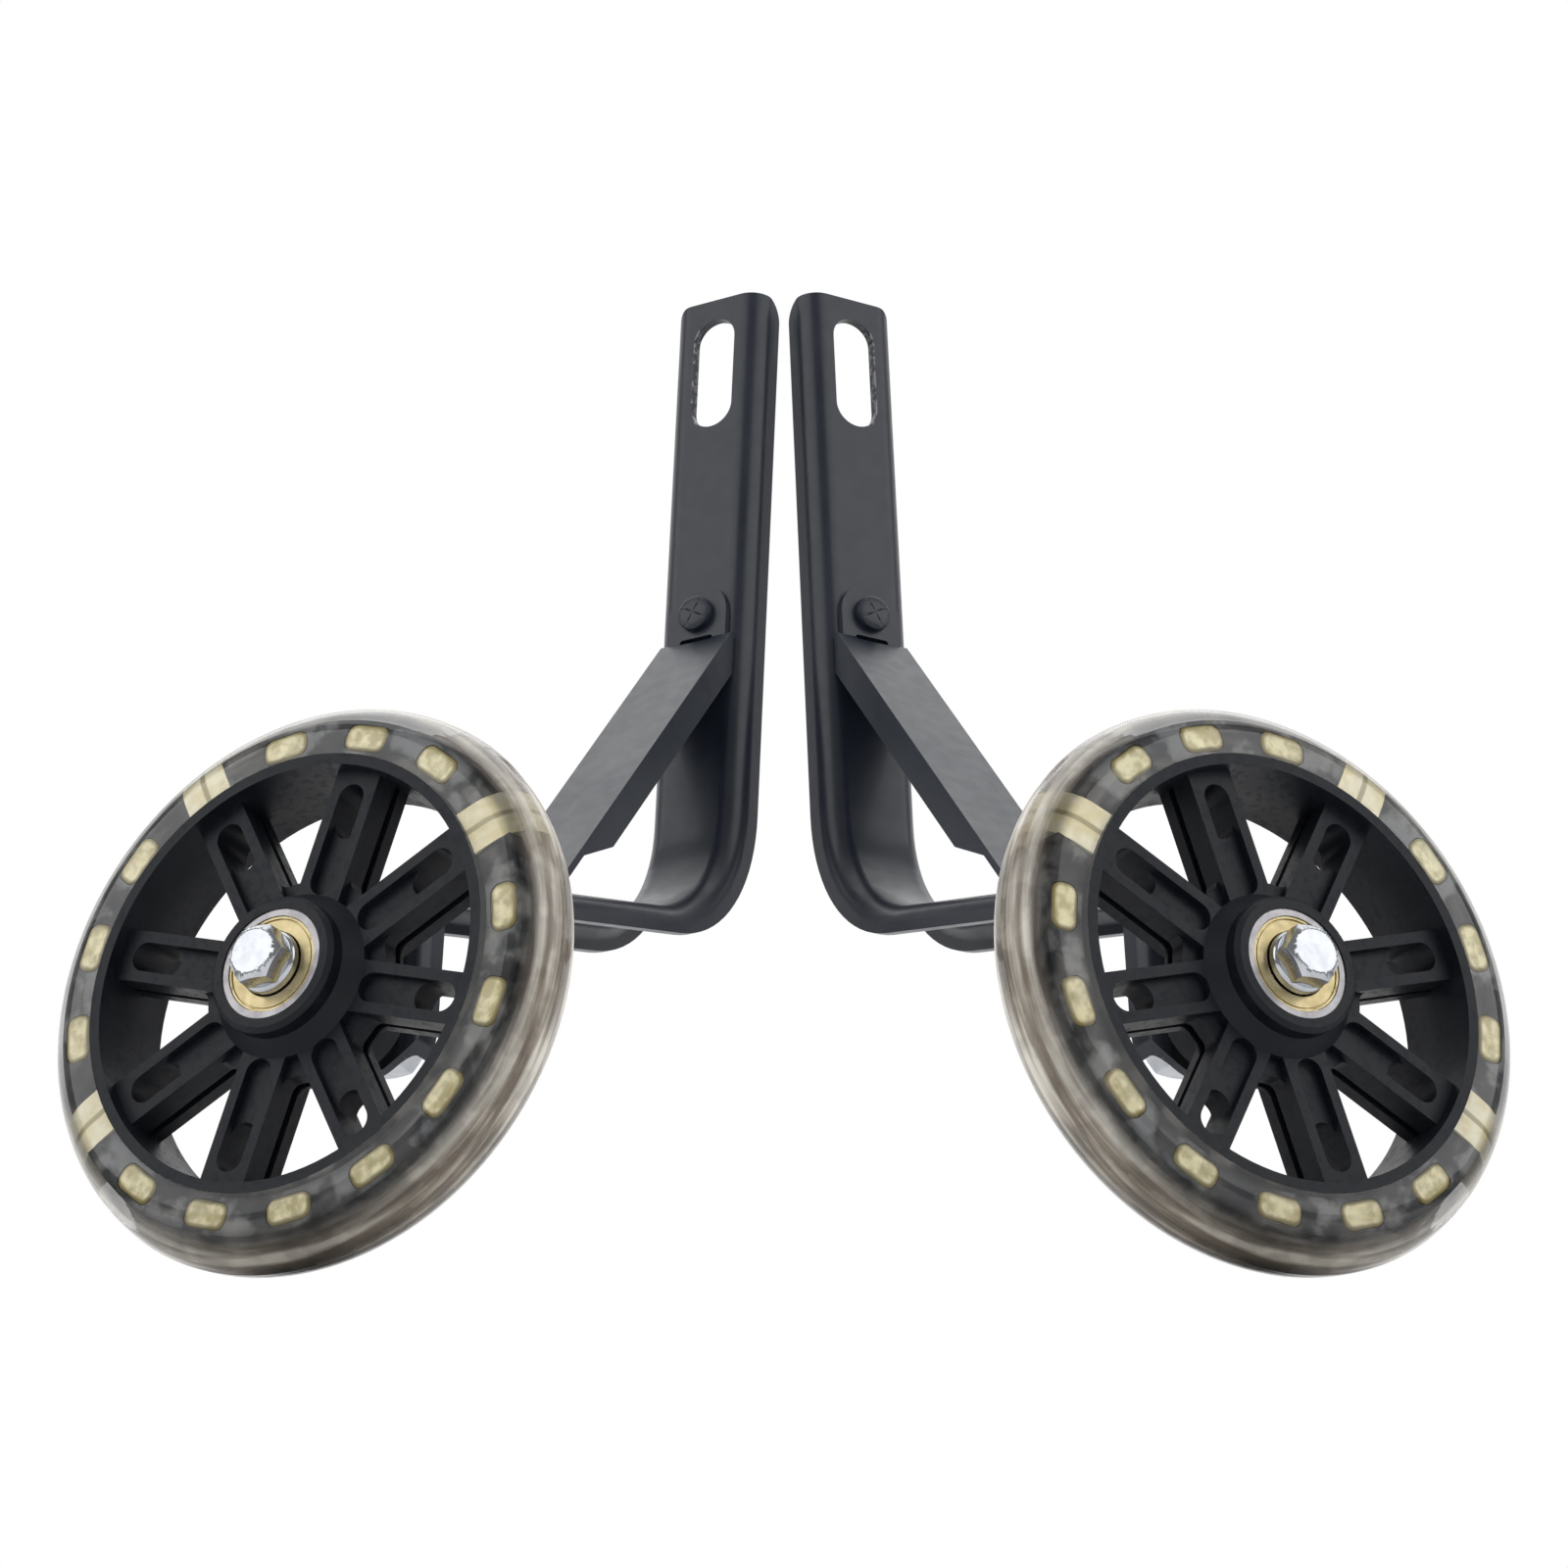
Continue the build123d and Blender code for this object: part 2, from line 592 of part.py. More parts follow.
# Left unit in its place with the wheels on the ground, right unit its mirror image
stand = Location((-WHEEL_SPREAD / 2, 0, tyre_radius), (0, 0, 270 - UNIT_YAW))
stand *= Location((0, 0, 0), (-UNIT_LEAN, 0, 0))
left_unit = {name: stand * part for name, part in pieces.items()}
boxes = [part.bounding_box() for part in left_unit.values()]
middle_depth = (min(box.min.Y for box in boxes) + max(box.max.Y for box in boxes)) / 2
os.makedirs("parts", exist_ok=True)
for name, part in left_unit.items():
    left_part = Pos(0, -middle_depth, 0) * part
    for side, placed in (("left", left_part), ("right", mirror(left_part, about=Plane.YZ))):
        placed.label = side + "_" + name
        export_step(placed, "parts/" + placed.label + ".step")
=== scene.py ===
"""Looks of a pair of clip-on training wheels for a child's bicycle.

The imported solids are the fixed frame. Each unit has a pressed channel bracket and a riveted brace in
satin black paint, and a spoked black hub in a clear tyre that turns on shielded ball bearings. A
piece is modelled once, in the unit's own frame (X outboard along the axle, Y fore and aft, Z up,
origin at the wheel's centre), and each unit gets a copy of it. Lengths are metres.
"""

from __future__ import annotations

import json
import logging
import math
from collections.abc import Callable, Iterator, Sequence
from dataclasses import dataclass, field
from enum import Enum

import bpy
from mathutils import Matrix, Vector
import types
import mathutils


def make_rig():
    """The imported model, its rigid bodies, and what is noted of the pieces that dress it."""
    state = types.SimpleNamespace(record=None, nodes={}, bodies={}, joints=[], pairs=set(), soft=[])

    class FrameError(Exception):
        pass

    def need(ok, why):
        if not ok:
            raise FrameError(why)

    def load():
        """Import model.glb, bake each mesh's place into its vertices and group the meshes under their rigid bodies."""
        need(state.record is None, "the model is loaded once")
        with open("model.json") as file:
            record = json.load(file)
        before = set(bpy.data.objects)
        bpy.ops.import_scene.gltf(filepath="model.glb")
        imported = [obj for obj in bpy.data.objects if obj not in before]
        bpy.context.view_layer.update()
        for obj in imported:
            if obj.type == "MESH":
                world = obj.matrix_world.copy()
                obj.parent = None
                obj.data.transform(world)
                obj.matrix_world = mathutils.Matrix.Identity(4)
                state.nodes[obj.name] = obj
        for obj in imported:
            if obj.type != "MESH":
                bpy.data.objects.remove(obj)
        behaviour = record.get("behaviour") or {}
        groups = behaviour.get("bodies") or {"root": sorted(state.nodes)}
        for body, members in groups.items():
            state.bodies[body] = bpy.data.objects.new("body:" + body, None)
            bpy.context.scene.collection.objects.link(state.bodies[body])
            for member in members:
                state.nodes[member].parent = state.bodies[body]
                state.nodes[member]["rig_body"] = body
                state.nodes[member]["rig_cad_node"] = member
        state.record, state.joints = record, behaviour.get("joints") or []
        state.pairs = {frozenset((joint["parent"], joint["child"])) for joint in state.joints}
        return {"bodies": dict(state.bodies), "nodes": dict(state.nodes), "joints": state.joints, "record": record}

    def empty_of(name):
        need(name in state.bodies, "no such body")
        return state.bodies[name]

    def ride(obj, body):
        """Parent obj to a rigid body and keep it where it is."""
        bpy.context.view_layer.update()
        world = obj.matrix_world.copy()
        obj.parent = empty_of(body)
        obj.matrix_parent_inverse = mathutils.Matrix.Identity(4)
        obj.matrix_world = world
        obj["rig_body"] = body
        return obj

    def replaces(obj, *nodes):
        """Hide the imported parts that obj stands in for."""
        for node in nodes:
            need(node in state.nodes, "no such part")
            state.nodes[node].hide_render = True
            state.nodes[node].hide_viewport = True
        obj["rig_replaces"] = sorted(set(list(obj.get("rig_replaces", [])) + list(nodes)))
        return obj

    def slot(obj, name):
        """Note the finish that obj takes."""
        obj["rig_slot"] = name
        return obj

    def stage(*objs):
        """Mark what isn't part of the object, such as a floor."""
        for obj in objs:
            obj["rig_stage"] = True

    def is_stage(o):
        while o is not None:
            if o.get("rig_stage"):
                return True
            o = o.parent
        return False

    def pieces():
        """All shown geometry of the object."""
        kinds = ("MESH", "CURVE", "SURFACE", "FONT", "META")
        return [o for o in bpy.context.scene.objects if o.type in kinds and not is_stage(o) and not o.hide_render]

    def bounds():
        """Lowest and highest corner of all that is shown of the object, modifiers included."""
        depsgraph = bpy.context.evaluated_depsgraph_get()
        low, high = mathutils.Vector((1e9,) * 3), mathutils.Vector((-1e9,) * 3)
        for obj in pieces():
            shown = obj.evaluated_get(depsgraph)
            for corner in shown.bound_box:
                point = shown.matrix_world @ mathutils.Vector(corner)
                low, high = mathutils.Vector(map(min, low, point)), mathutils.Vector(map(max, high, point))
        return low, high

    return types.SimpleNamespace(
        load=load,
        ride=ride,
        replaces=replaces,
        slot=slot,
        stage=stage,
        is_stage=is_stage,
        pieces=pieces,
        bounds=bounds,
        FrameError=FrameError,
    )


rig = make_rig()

LOG = logging.getLogger("training_wheels")
SIZE_FILE = "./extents.json"
MM = 0.001
NOISE_REACH = 0.35
Colour = tuple[float, float, float]
Span = tuple[float, float]
Profile = Sequence[tuple[float, float]]


class Side(Enum):
    """Which unit of the pair; the value is the prefix of its nodes."""

    LEFT = "left"
    RIGHT = "right"


class Half(Enum):
    """Which of a wheel's two bearings; the value is the prefix of its nodes."""

    OUTBOARD = "outboard"
    INBOARD = "inboard"


class Pick(Enum):
    """What an edit-mode selection is made of."""

    VERT = "vertices"
    EDGE = "edges"
    FACE = "polygons"


@dataclass(frozen=True)
class Unit:
    """Place of one unit in the row frame."""

    side: Side
    centre: Vector
    outboard: Vector
    lean: float = math.radians(2.5)

    @property
    def mirrored(self) -> bool:
        """Whether the unit is the mirror image of the modelled one."""
        return self.side is Side.RIGHT

    @property
    def matrix(self) -> Matrix:
        """From the unit's own frame to the row frame; the right unit's is a reflection."""
        up = Vector((0.0, 0.0, 1.0))
        fore = up.cross(self.outboard) * (-1.0 if self.mirrored else 1.0)
        tipped_fore = fore * math.cos(self.lean) - up * math.sin(self.lean)
        tipped_up = up * math.cos(self.lean) + fore * math.sin(self.lean)
        turn = Matrix((self.outboard, tipped_fore, tipped_up)).transposed()
        return Matrix.Translation(self.centre) @ turn.to_4x4()

    def node(self, name: str) -> str:
        """Name of this unit's CAD node or body."""
        return f"{self.side.value}_{name}"


class Signal:
    """A number that varies over a surface: a socket that takes part in Python sums."""

    def __init__(self, tree: bpy.types.NodeTree, socket: bpy.types.NodeSocket) -> None:
        """Wrap an output socket of a tree."""
        self.tree = tree
        self.socket = socket

    def _math(self, operation: str, *values: Signal | float) -> Signal:
        """Add a Math node.

        Args:
            operation: The node's operation.
            values: Signals or numbers for its inputs, in order.

        Returns:
            The node's result.
        """
        node = self.tree.nodes.new("ShaderNodeMath")
        node.operation = operation
        for socket, value in zip(node.inputs, values):
            if isinstance(value, Signal):
                self.tree.links.new(value.socket, socket)
            else:
                socket.default_value = value
        return Signal(self.tree, node.outputs[0])

    def __add__(self, other: Signal | float) -> Signal:
        """Sum."""
        return self._math("ADD", self, other)

    __radd__ = __add__

    def __sub__(self, other: Signal | float) -> Signal:
        """Difference."""
        return self._math("SUBTRACT", self, other)

    def __rsub__(self, other: float) -> Signal:
        """Difference from a number."""
        return self._math("SUBTRACT", other, self)

    def __mul__(self, other: Signal | float) -> Signal:
        """Product."""
        return self._math("MULTIPLY", self, other)

    __rmul__ = __mul__

    def __truediv__(self, other: Signal | float) -> Signal:
        """Quotient."""
        return self._math("DIVIDE", self, other)

    def __pow__(self, other: float) -> Signal:
        """Power."""
        return self._math("POWER", self, other)

    def __abs__(self) -> Signal:
        """Size without sign."""
        return self._math("ABSOLUTE", self)

    def __neg__(self) -> Signal:
        """Opposite sign."""
        return self._math("MULTIPLY", self, -1.0)

    def larger(self, other: Signal | float) -> Signal:
        """The larger of two values."""
        return self._math("MAXIMUM", self, other)

    def smaller(self, other: Signal | float) -> Signal:
        """The smaller of two values."""
        return self._math("MINIMUM", self, other)

    def angle(self, across: Signal) -> Signal:
        """Angle of the point that has this value along one axis and another across it."""
        return self._math("ARCTAN2", across, self)

    def length(self, across: Signal) -> Signal:
        """Distance of that point from the origin."""
        return (self * self + across * across) ** 0.5

    def wrapped(self, half: float) -> Signal:
        """Value repeated between minus and plus a half."""
        return self._math("WRAP", self, half, -half)

    def ramp(self, start: float, end: float) -> Signal:
        """Smooth rise from 0 at one value to 1 at another, held to them outside."""
        node = self.tree.nodes.new("ShaderNodeMapRange")
        node.interpolation_type = "SMOOTHSTEP"
        self.tree.links.new(self.socket, node.inputs["Value"])
        node.inputs["From Min"].default_value = start
        node.inputs["From Max"].default_value = end
        return Signal(self.tree, node.outputs["Result"])


class Recipe:
    """Nodes of one tree."""

    def __init__(self, tree: bpy.types.NodeTree) -> None:
        """Empty a tree, to fill it."""
        self.tree = tree
        self.tree.nodes.clear()

    def node(
        self,
        kind: str,
        settings: dict[str, object] | None = None,
        sockets: dict[str, object] | None = None,
        out: str = "",
    ) -> Signal | None:
        """Add a node.

        Args:
            kind: The node's type.
            settings: Its own settings, set first.
            sockets: Values or links of its sockets, by name or identifier.
            out: Name or identifier of the output to return, or empty for none.

        Returns:
            The chosen output, or None.
        """
        made = self.tree.nodes.new(kind)
        for key, value in (settings or {}).items():
            setattr(made, key, value)
        for key, value in (sockets or {}).items():
            self.feed(made, key, value)
        if not out:
            return None
        return Signal(self.tree, next(s for s in made.outputs if out in (s.identifier, s.name)))

    def feed(self, node: bpy.types.Node, key: str, value: object) -> None:
        """Set or link one socket.

        Args:
            node: Node that has the socket.
            key: The socket's name or identifier.
            value: Signal, output socket, number or colour.
        """
        socket = next(s for s in node.inputs if key in (s.identifier, s.name))
        if isinstance(value, Signal):
            self.tree.links.new(value.socket, socket)
        elif isinstance(value, bpy.types.NodeSocket):
            self.tree.links.new(value, socket)
        elif isinstance(value, tuple) and socket.type == "RGBA":
            socket.default_value = (*value, 1.0)
        else:
            socket.default_value = value

    def place(self) -> Signal:
        """Object coordinates, which are the row frame's."""
        return self.node("ShaderNodeTexCoord", out="Object")

    def unit_axes(self, unit: Unit) -> tuple[Signal, Signal, Signal]:
        """Coordinates in a unit's own frame, the same for both units.

        Args:
            unit: The left unit.

        Returns:
            Outboard, fore-and-aft and upward coordinates.
        """
        split = self.node("ShaderNodeSeparateXYZ", sockets={"Vector": self.place()}, out="X")
        parts = split.socket.node.outputs
        folded = self.node(
            "ShaderNodeCombineXYZ",
            sockets={"X": -abs(split), "Y": parts["Y"], "Z": parts["Z"]},
            out="Vector",
        )
        back = unit.matrix.inverted()
        local = self.node(
            "ShaderNodeMapping",
            {"vector_type": "POINT"},
            {"Vector": folded, "Location": back.to_translation(), "Rotation": back.to_euler()},
            out="Vector",
        )
        axes = self.node("ShaderNodeSeparateXYZ", sockets={"Vector": local}, out="X")
        return tuple(Signal(self.tree, s) for s in axes.socket.node.outputs)

    def wheel_axes(self, unit: Unit, phase: float) -> tuple[Signal, Signal, Signal]:
        """Coordinate towards the wheel's first light module, the one square to it and the radius."""
        _, fore, up = self.unit_axes(unit)
        along = fore * math.cos(phase) + up * math.sin(phase)
        across = up * math.cos(phase) - fore * math.sin(phase)
        return along, across, along.length(across)

    def cloud(
        self, size: float, detail: float = 2.0, contrast: float = 1.0, course: Signal | None = None
    ) -> Signal:
        """Soft noise over the surface.

        Args:
            size: Size of a patch.
            detail: Octaves of finer noise.
            contrast: How far the middle values are spread.
            course: Coordinates that it follows, or None for the row frame's.

        Returns:
            A value from 0 to 1.
        """
        noise = self.node(
            "ShaderNodeTexNoise",
            sockets={"Vector": course or self.place(), "Scale": 1.0 / size, "Detail": detail},
            out="Fac",
        )
        reach = NOISE_REACH / contrast
        return noise.ramp(0.5 - reach, 0.5 + reach)

    def course(self, outboard: Signal, fore: Signal, up: Signal, stretch: float) -> Signal:
        """Coordinates in which a patch is longer round the axle than across, by a stretch."""
        radius = fore.length(up)
        around = abs(fore.angle(up)) * radius / stretch
        return self.node(
            "ShaderNodeCombineXYZ",
            sockets={"X": around, "Y": radius, "Z": outboard},
            out="Vector",
        )

    def rings(self, distance: Signal, pitch: float) -> Signal:
        """Irregular lathe rings of a typical width, which depend on one distance alone."""
        return self.node(
            "ShaderNodeTexNoise",
            {"noise_dimensions": "1D"},
            {"W": distance, "Scale": 1.0 / pitch, "Detail": 3.0},
            out="Fac",
        )

    def blend(self, mask: Signal, low: Colour | Signal, high: Colour | Signal) -> Signal:
        """Mix two colours: the first where the mask is 0, the second where it is 1."""
        return self.node(
            "ShaderNodeMix",
            {"data_type": "RGBA"},
            {"Factor_Float": mask, "A_Color": low, "B_Color": high},
            out="Result_Color",
        )

    def bump(self, height: Signal, depth: float) -> Signal:
        """Relief for the Normal socket; a height of 1 is as deep as given."""
        sockets = {"Height": height, "Distance": depth, "Strength": 1.0}
        return self.node("ShaderNodeBump", sockets=sockets, out="Normal")


class Finish(Recipe):
    """Node tree of one material, round a principled shader."""

    def __init__(self, name: str) -> None:
        """Start a material."""
        self.material = bpy.data.materials.new(name)
        self.material.use_nodes = True
        super().__init__(self.material.node_tree)
        self.shader = self.node("ShaderNodeBsdfPrincipled", out="BSDF")

    def over(self, mask: Signal, other: Signal) -> Signal:
        """Mix the principled shader with another one, which shows where the mask is 1."""
        sockets = {"Fac": mask, "Shader": self.shader, "Shader_001": other}
        return self.node("ShaderNodeMixShader", sockets=sockets, out="Shader")

    def surface(self, cover: Signal | None = None, **sockets: object) -> bpy.types.Material:
        """Set the principled shader and finish the material.

        Args:
            cover: Shader that the surface shows, or None for the principled shader itself.
            sockets: Values or links, by socket name with underscores for spaces.

        Returns:
            The finished material.
        """
        for key, value in sockets.items():
            self.feed(self.shader.socket.node, key.replace("_", " "), value)
        self.node("ShaderNodeOutputMaterial", sockets={"Surface": cover or self.shader})
        return self.material


@dataclass(frozen=True)
class SatinPaint:
    """Stoved satin black paint on pressed steel, rubbed bare round the axle slot."""

    deep: Colour = (0.0100, 0.0145, 0.0250)
    hazy: Colour = (0.0170, 0.0230, 0.0360)
    bare: Colour = (0.30, 0.30, 0.31)
    haze_size: float = 22.0 * MM
    peel_size: float = 0.9 * MM
    dust_size: float = 3.5 * MM
    relief: float = 0.006 * MM
    slot_height: float = 199.0 * MM
    slot_straight: float = 8.35 * MM
    slot_radius: float = 5.0 * MM
    arm_inside: float = -124.0 * MM
    arm_blur: float = 2.0 * MM
    worn_edge: Span = (0.12 * MM, 0.55 * MM)
    worn_aft: Span = (2.0 * MM, 4.5 * MM)
    chip_size: float = 1.3 * MM
    chip_share: Span = (0.5, 0.72)
    wear: float = 0.7

    def material(self, unit: Unit) -> bpy.types.Material:
        """Mix the paint.

        Args:
            unit: The left unit, whose slot is worn.

        Returns:
            The material.
        """
        mix = Finish("satin_black_paint")
        outboard, fore, up = mix.unit_axes(unit)
        haze = mix.cloud(self.haze_size, detail=3.0)
        peel = mix.cloud(self.peel_size)
        dust = mix.cloud(self.dust_size, detail=5.0, contrast=1.6)
        beyond = (abs(up - self.slot_height) - self.slot_straight).larger(0.0)
        from_slot = abs(beyond.length(fore) - self.slot_radius)
        near = 1.0 - from_slot.ramp(*self.worn_edge)
        on_arm = 1.0 - outboard.ramp(self.arm_inside - self.arm_blur, self.arm_inside)
        chips = mix.cloud(self.chip_size, detail=4.0, contrast=3.0).ramp(*self.chip_share)
        aft = (-fore).ramp(*self.worn_aft)
        rubbed = self.wear * near * on_arm * aft * chips
        colour = mix.blend(haze, self.deep, self.hazy)
        return mix.surface(
            Base_Color=mix.blend(rubbed, colour, self.bare),
            Metallic=rubbed,
            Roughness=0.30 + 0.07 * haze + 0.07 * dust,
            Specular_IOR_Level=0.5,
            Coat_Weight=0.10,
            Coat_Roughness=0.14,
            Normal=mix.bump(peel + 0.3 * dust, self.relief),
        )


@dataclass(frozen=True)
class MouldedPlastic:
    """Black moulded plastic with a fine grain, greyer where it lies under the clear tyre."""

    deep: Colour = (0.0048, 0.0060, 0.0098)
    hazy: Colour = (0.0088, 0.0106, 0.0160)
    smoke: Colour = (0.014, 0.016, 0.023)
    pale_smoke: Colour = (0.170, 0.178, 0.192)
    brown: Colour = (0.17, 0.122, 0.090)
    cream: Colour = (0.60, 0.55, 0.46)
    rim_radius: float = 44.0 * MM
    rim_blur: float = 0.3 * MM
    flange_radius: float = 51.3 * MM
    flange_blur: float = 0.6 * MM
    tread_half: Span = (1.5 * MM, 5.5 * MM)
    flow_size: float = 9.0 * MM
    grain_size: float = 0.35 * MM
    scuff_size: float = 1.6 * MM
    scuff_share: Span = (0.62, 0.95)
    scuff_tone: float = 0.25
    patch_size: float = 8.0 * MM
    patch_share: Span = (0.35, 1.0)
    streak_size: float = 2.2 * MM
    streak_stretch: float = 14.0
    streak_share: Span = (0.2, 0.7)
    relief: float = 0.012 * MM

    def material(self, unit: Unit) -> bpy.types.Material:
        """Mix the plastic.

        Args:
            unit: The left unit, whose axle sets the radius.

        Returns:
            The material.
        """
        mix = Finish("moulded_black_plastic")
        outboard, fore, up = mix.unit_axes(unit)
        radius = fore.length(up)
        flow = mix.cloud(self.flow_size, detail=4.0)
        grain = mix.cloud(self.grain_size)
        scuff = mix.cloud(self.scuff_size, detail=6.0, contrast=2.4).ramp(*self.scuff_share)
        flange = radius.ramp(self.rim_radius, self.rim_radius + self.rim_blur)
        colour = mix.blend(flow, self.deep, self.hazy)
        colour = mix.blend(self.scuff_tone * scuff, colour, self.smoke)
        patches = mix.cloud(self.patch_size, detail=5.0, contrast=2.2).ramp(*self.patch_share)
        course = mix.course(outboard, fore, up, self.streak_stretch)
        streak = mix.cloud(self.streak_size, detail=3.0, contrast=1.6, course=course)
        side = mix.blend(patches, self.smoke, self.pale_smoke)
        tread = mix.blend(streak * flow.ramp(*self.streak_share), self.brown, self.cream)
        under_tread = radius.ramp(self.flange_radius - self.flange_blur, self.flange_radius)
        under_tread = under_tread * (1.0 - abs(outboard).ramp(*self.tread_half))
        return mix.surface(
            Base_Color=mix.blend(flange, colour, mix.blend(under_tread, side, tread)),
            Roughness=0.40 + 0.10 * flow + 0.10 * scuff,
            Specular_IOR_Level=0.28,
            Normal=mix.bump(grain + 0.4 * flow, self.relief),
        )


@dataclass(frozen=True)
class Metal:
    """Bare or plated metal with lathe rings about the axle."""

    name: str
    colour: Colour
    shade: Colour
    roughness: float
    spread: float
    ring_pitch: float = 0.12 * MM
    ring_depth: float = 0.004 * MM
    ring_slope: float = 0.7
    cloud_size: float = 2.6 * MM

    def material(self, unit: Unit) -> bpy.types.Material:
        """Mix the metal.

        Args:
            unit: The left unit, whose axle the rings go round.

        Returns:
            The material.
        """
        mix = Finish(self.name)
        outboard, fore, up = mix.unit_axes(unit)
        radius = fore.length(up)
        ring = mix.rings(radius + self.ring_slope * outboard, self.ring_pitch)
        cloud = mix.cloud(self.cloud_size, detail=4.0, contrast=1.4)
        return mix.surface(
            Base_Color=mix.blend(0.6 * cloud + 0.4 * ring, self.colour, self.shade),
            Metallic=1.0,
            Roughness=self.roughness + self.spread * cloud,
            Normal=mix.bump(ring, self.ring_depth),
        )


@dataclass(frozen=True)
class ClearUrethane:
    """Clear moulded polyurethane: shoulders painted grey as painted shade for the dark flange that a stronger
    refraction would show there, a milky tread and streaks along the moulding.
    """

    colour: Colour = (0.97, 0.965, 0.945)
    straw: Colour = (0.93, 0.90, 0.82)
    # smoke: painted shade on the shoulders, for the dark flange that refraction would show there
    smoke: Colour = (0.27, 0.27, 0.272)
    milk: Colour = (0.88, 0.84, 0.75)
    beige: Colour = (0.43, 0.355, 0.275)
    refraction: float = 1.22
    shoulder: Span = (50.3 * MM, 52.2 * MM)
    tread: Span = (52.2 * MM, 56.4 * MM)
    crown: Span = (54.8 * MM, 56.3 * MM)
    streak_size: float = 2.2 * MM
    streak_stretch: float = 16.0
    swirl_size: float = 7.0 * MM
    ripple_size: float = 2.2 * MM
    smear_share: Span = (0.35, 0.75)
    tread_veil: float = 0.22
    streak_veil: float = 0.55
    smear_veil: float = 0.15
    side_veil: float = 0.10
    relief: float = 0.05 * MM

    def material(self, unit: Unit) -> bpy.types.Material:
        """Mix the urethane.

        Args:
            unit: The left unit, whose axle the streaks go round.

        Returns:
            The material.
        """
        mix = Finish("clear_urethane")
        outboard, fore, up = mix.unit_axes(unit)
        radius = fore.length(up)
        course = mix.course(outboard, fore, up, self.streak_stretch)
        streak = mix.cloud(self.streak_size, detail=3.0, contrast=1.8, course=course)
        swirl = mix.cloud(self.swirl_size, detail=3.0)
        ripple = mix.cloud(self.ripple_size)
        smear = swirl.ramp(*self.smear_share)
        # Painted shade: grey over the shoulders, standing in for the dark flange seen by refraction.
        shoulder = radius.ramp(*self.shoulder) * (1.0 - radius.ramp(*self.crown))
        tint = mix.blend(streak, self.colour, self.straw)
        veil = self.tread_veil + self.streak_veil * streak + self.smear_veil * smear
        milky = radius.ramp(*self.tread) * veil + self.side_veil * smear * streak
        sockets = {"Base Color": mix.blend(streak, self.beige, self.milk), "Roughness": 0.3}
        haze = mix.node("ShaderNodeBsdfPrincipled", sockets=sockets, out="BSDF")
        return mix.surface(
            mix.over(milky, haze),
            Base_Color=mix.blend(shoulder, tint, self.smoke),
            Roughness=0.02 + 0.05 * ripple,
            IOR=self.refraction,
            Transmission_Weight=1.0,
            Coat_Weight=0.6 + 0.2 * swirl,
            Coat_Roughness=0.05,
            Normal=mix.bump(swirl + 0.25 * ripple + 0.3 * streak, self.relief),
        )


@dataclass(frozen=True)
class CreamResin:
    """Cream resin behind the clear tyre. On the light modules it is their own light-guide resin with an olive joint
    line. On the window keys the cream is painted light that stands for the white light shining through the windows and
    the tinted tyre, the pale patches are painted highlights, and the olive border, where the edges are seen through,
    is painted shade.
    """

    name: str
    colour: Colour
    pale: Colour
    patch_size: float
    olive: Colour = (0.23, 0.19, 0.065)
    speck_size: float = 0.8 * MM
    relief: float = 0.08 * MM

    def material(self, joint_and_shade_lines: Callable[[Finish], Signal]) -> bpy.types.Material:
        """Mix the resin.

        Args:
            joint_and_shade_lines: Gives the mask of the olive lines, from 0 to 1.

        Returns:
            The material.
        """
        mix = Finish(self.name)
        cloud = mix.cloud(self.patch_size, detail=3.0, contrast=2.2)
        speck = mix.cloud(self.speck_size, detail=4.0, contrast=2.0)
        line = joint_and_shade_lines(mix)
        return mix.surface(
            # Window keys: cream painted backlight, pale painted highlights, olive painted shade at the border;
            # modules: olive joint line.
            Base_Color=mix.blend(line, mix.blend(cloud, self.colour, self.pale), self.olive),
            Roughness=0.28 + 0.15 * speck,
            Specular_IOR_Level=0.4,
            Coat_Weight=0.2,
            Normal=mix.bump(cloud + 0.2 * speck - line, self.relief),
        )


@dataclass(frozen=True)
class LightRing:
    """Layout of the windows and light modules round a wheel, and the lines painted in them: painted shade round each
    window and a joint line down each module.
    """

    unit: Unit
    phase: float = math.radians(27.9)
    count: int = 16
    modules: tuple[int, ...] = (0, 4, 8)
    radius: float = 47.75 * MM
    half_length: float = 4.8 * MM
    half_height: float = 2.65 * MM
    corner: float = 2.1 * MM
    border: Span = (0.945 * MM, 1.995 * MM)
    joint: Span = (0.35 * MM, 0.80 * MM)
    joint_tone: float = 0.75

    @property
    def windows(self) -> list[int]:
        """Places that have a window and no module."""
        return [place for place in range(self.count) if place not in self.modules]

    def angle(self, place: int) -> float:
        """Turn of a place from the upright."""
        return self.phase + math.tau * place / self.count - math.pi / 2

    def window_outline(self, mix: Recipe) -> Signal:
        """Mask of the painted shade round the border of each window."""
        along, across, radius = mix.wheel_axes(self.unit, self.phase)
        sideways = along.angle(across).wrapped(math.pi / self.count) * radius
        past_end = (abs(sideways) - (self.half_length - self.corner)).larger(0.0)
        past_side = (abs(radius - self.radius) - (self.half_height - self.corner)).larger(0.0)
        return past_end.length(past_side).ramp(*self.border)

    def module_joint(self, mix: Recipe) -> Signal:
        """Mask of the joint line down the middle of each module."""
        along, across, _ = mix.wheel_axes(self.unit, self.phase)
        return self.joint_tone * (1.0 - abs(along).smaller(abs(across)).ramp(*self.joint))


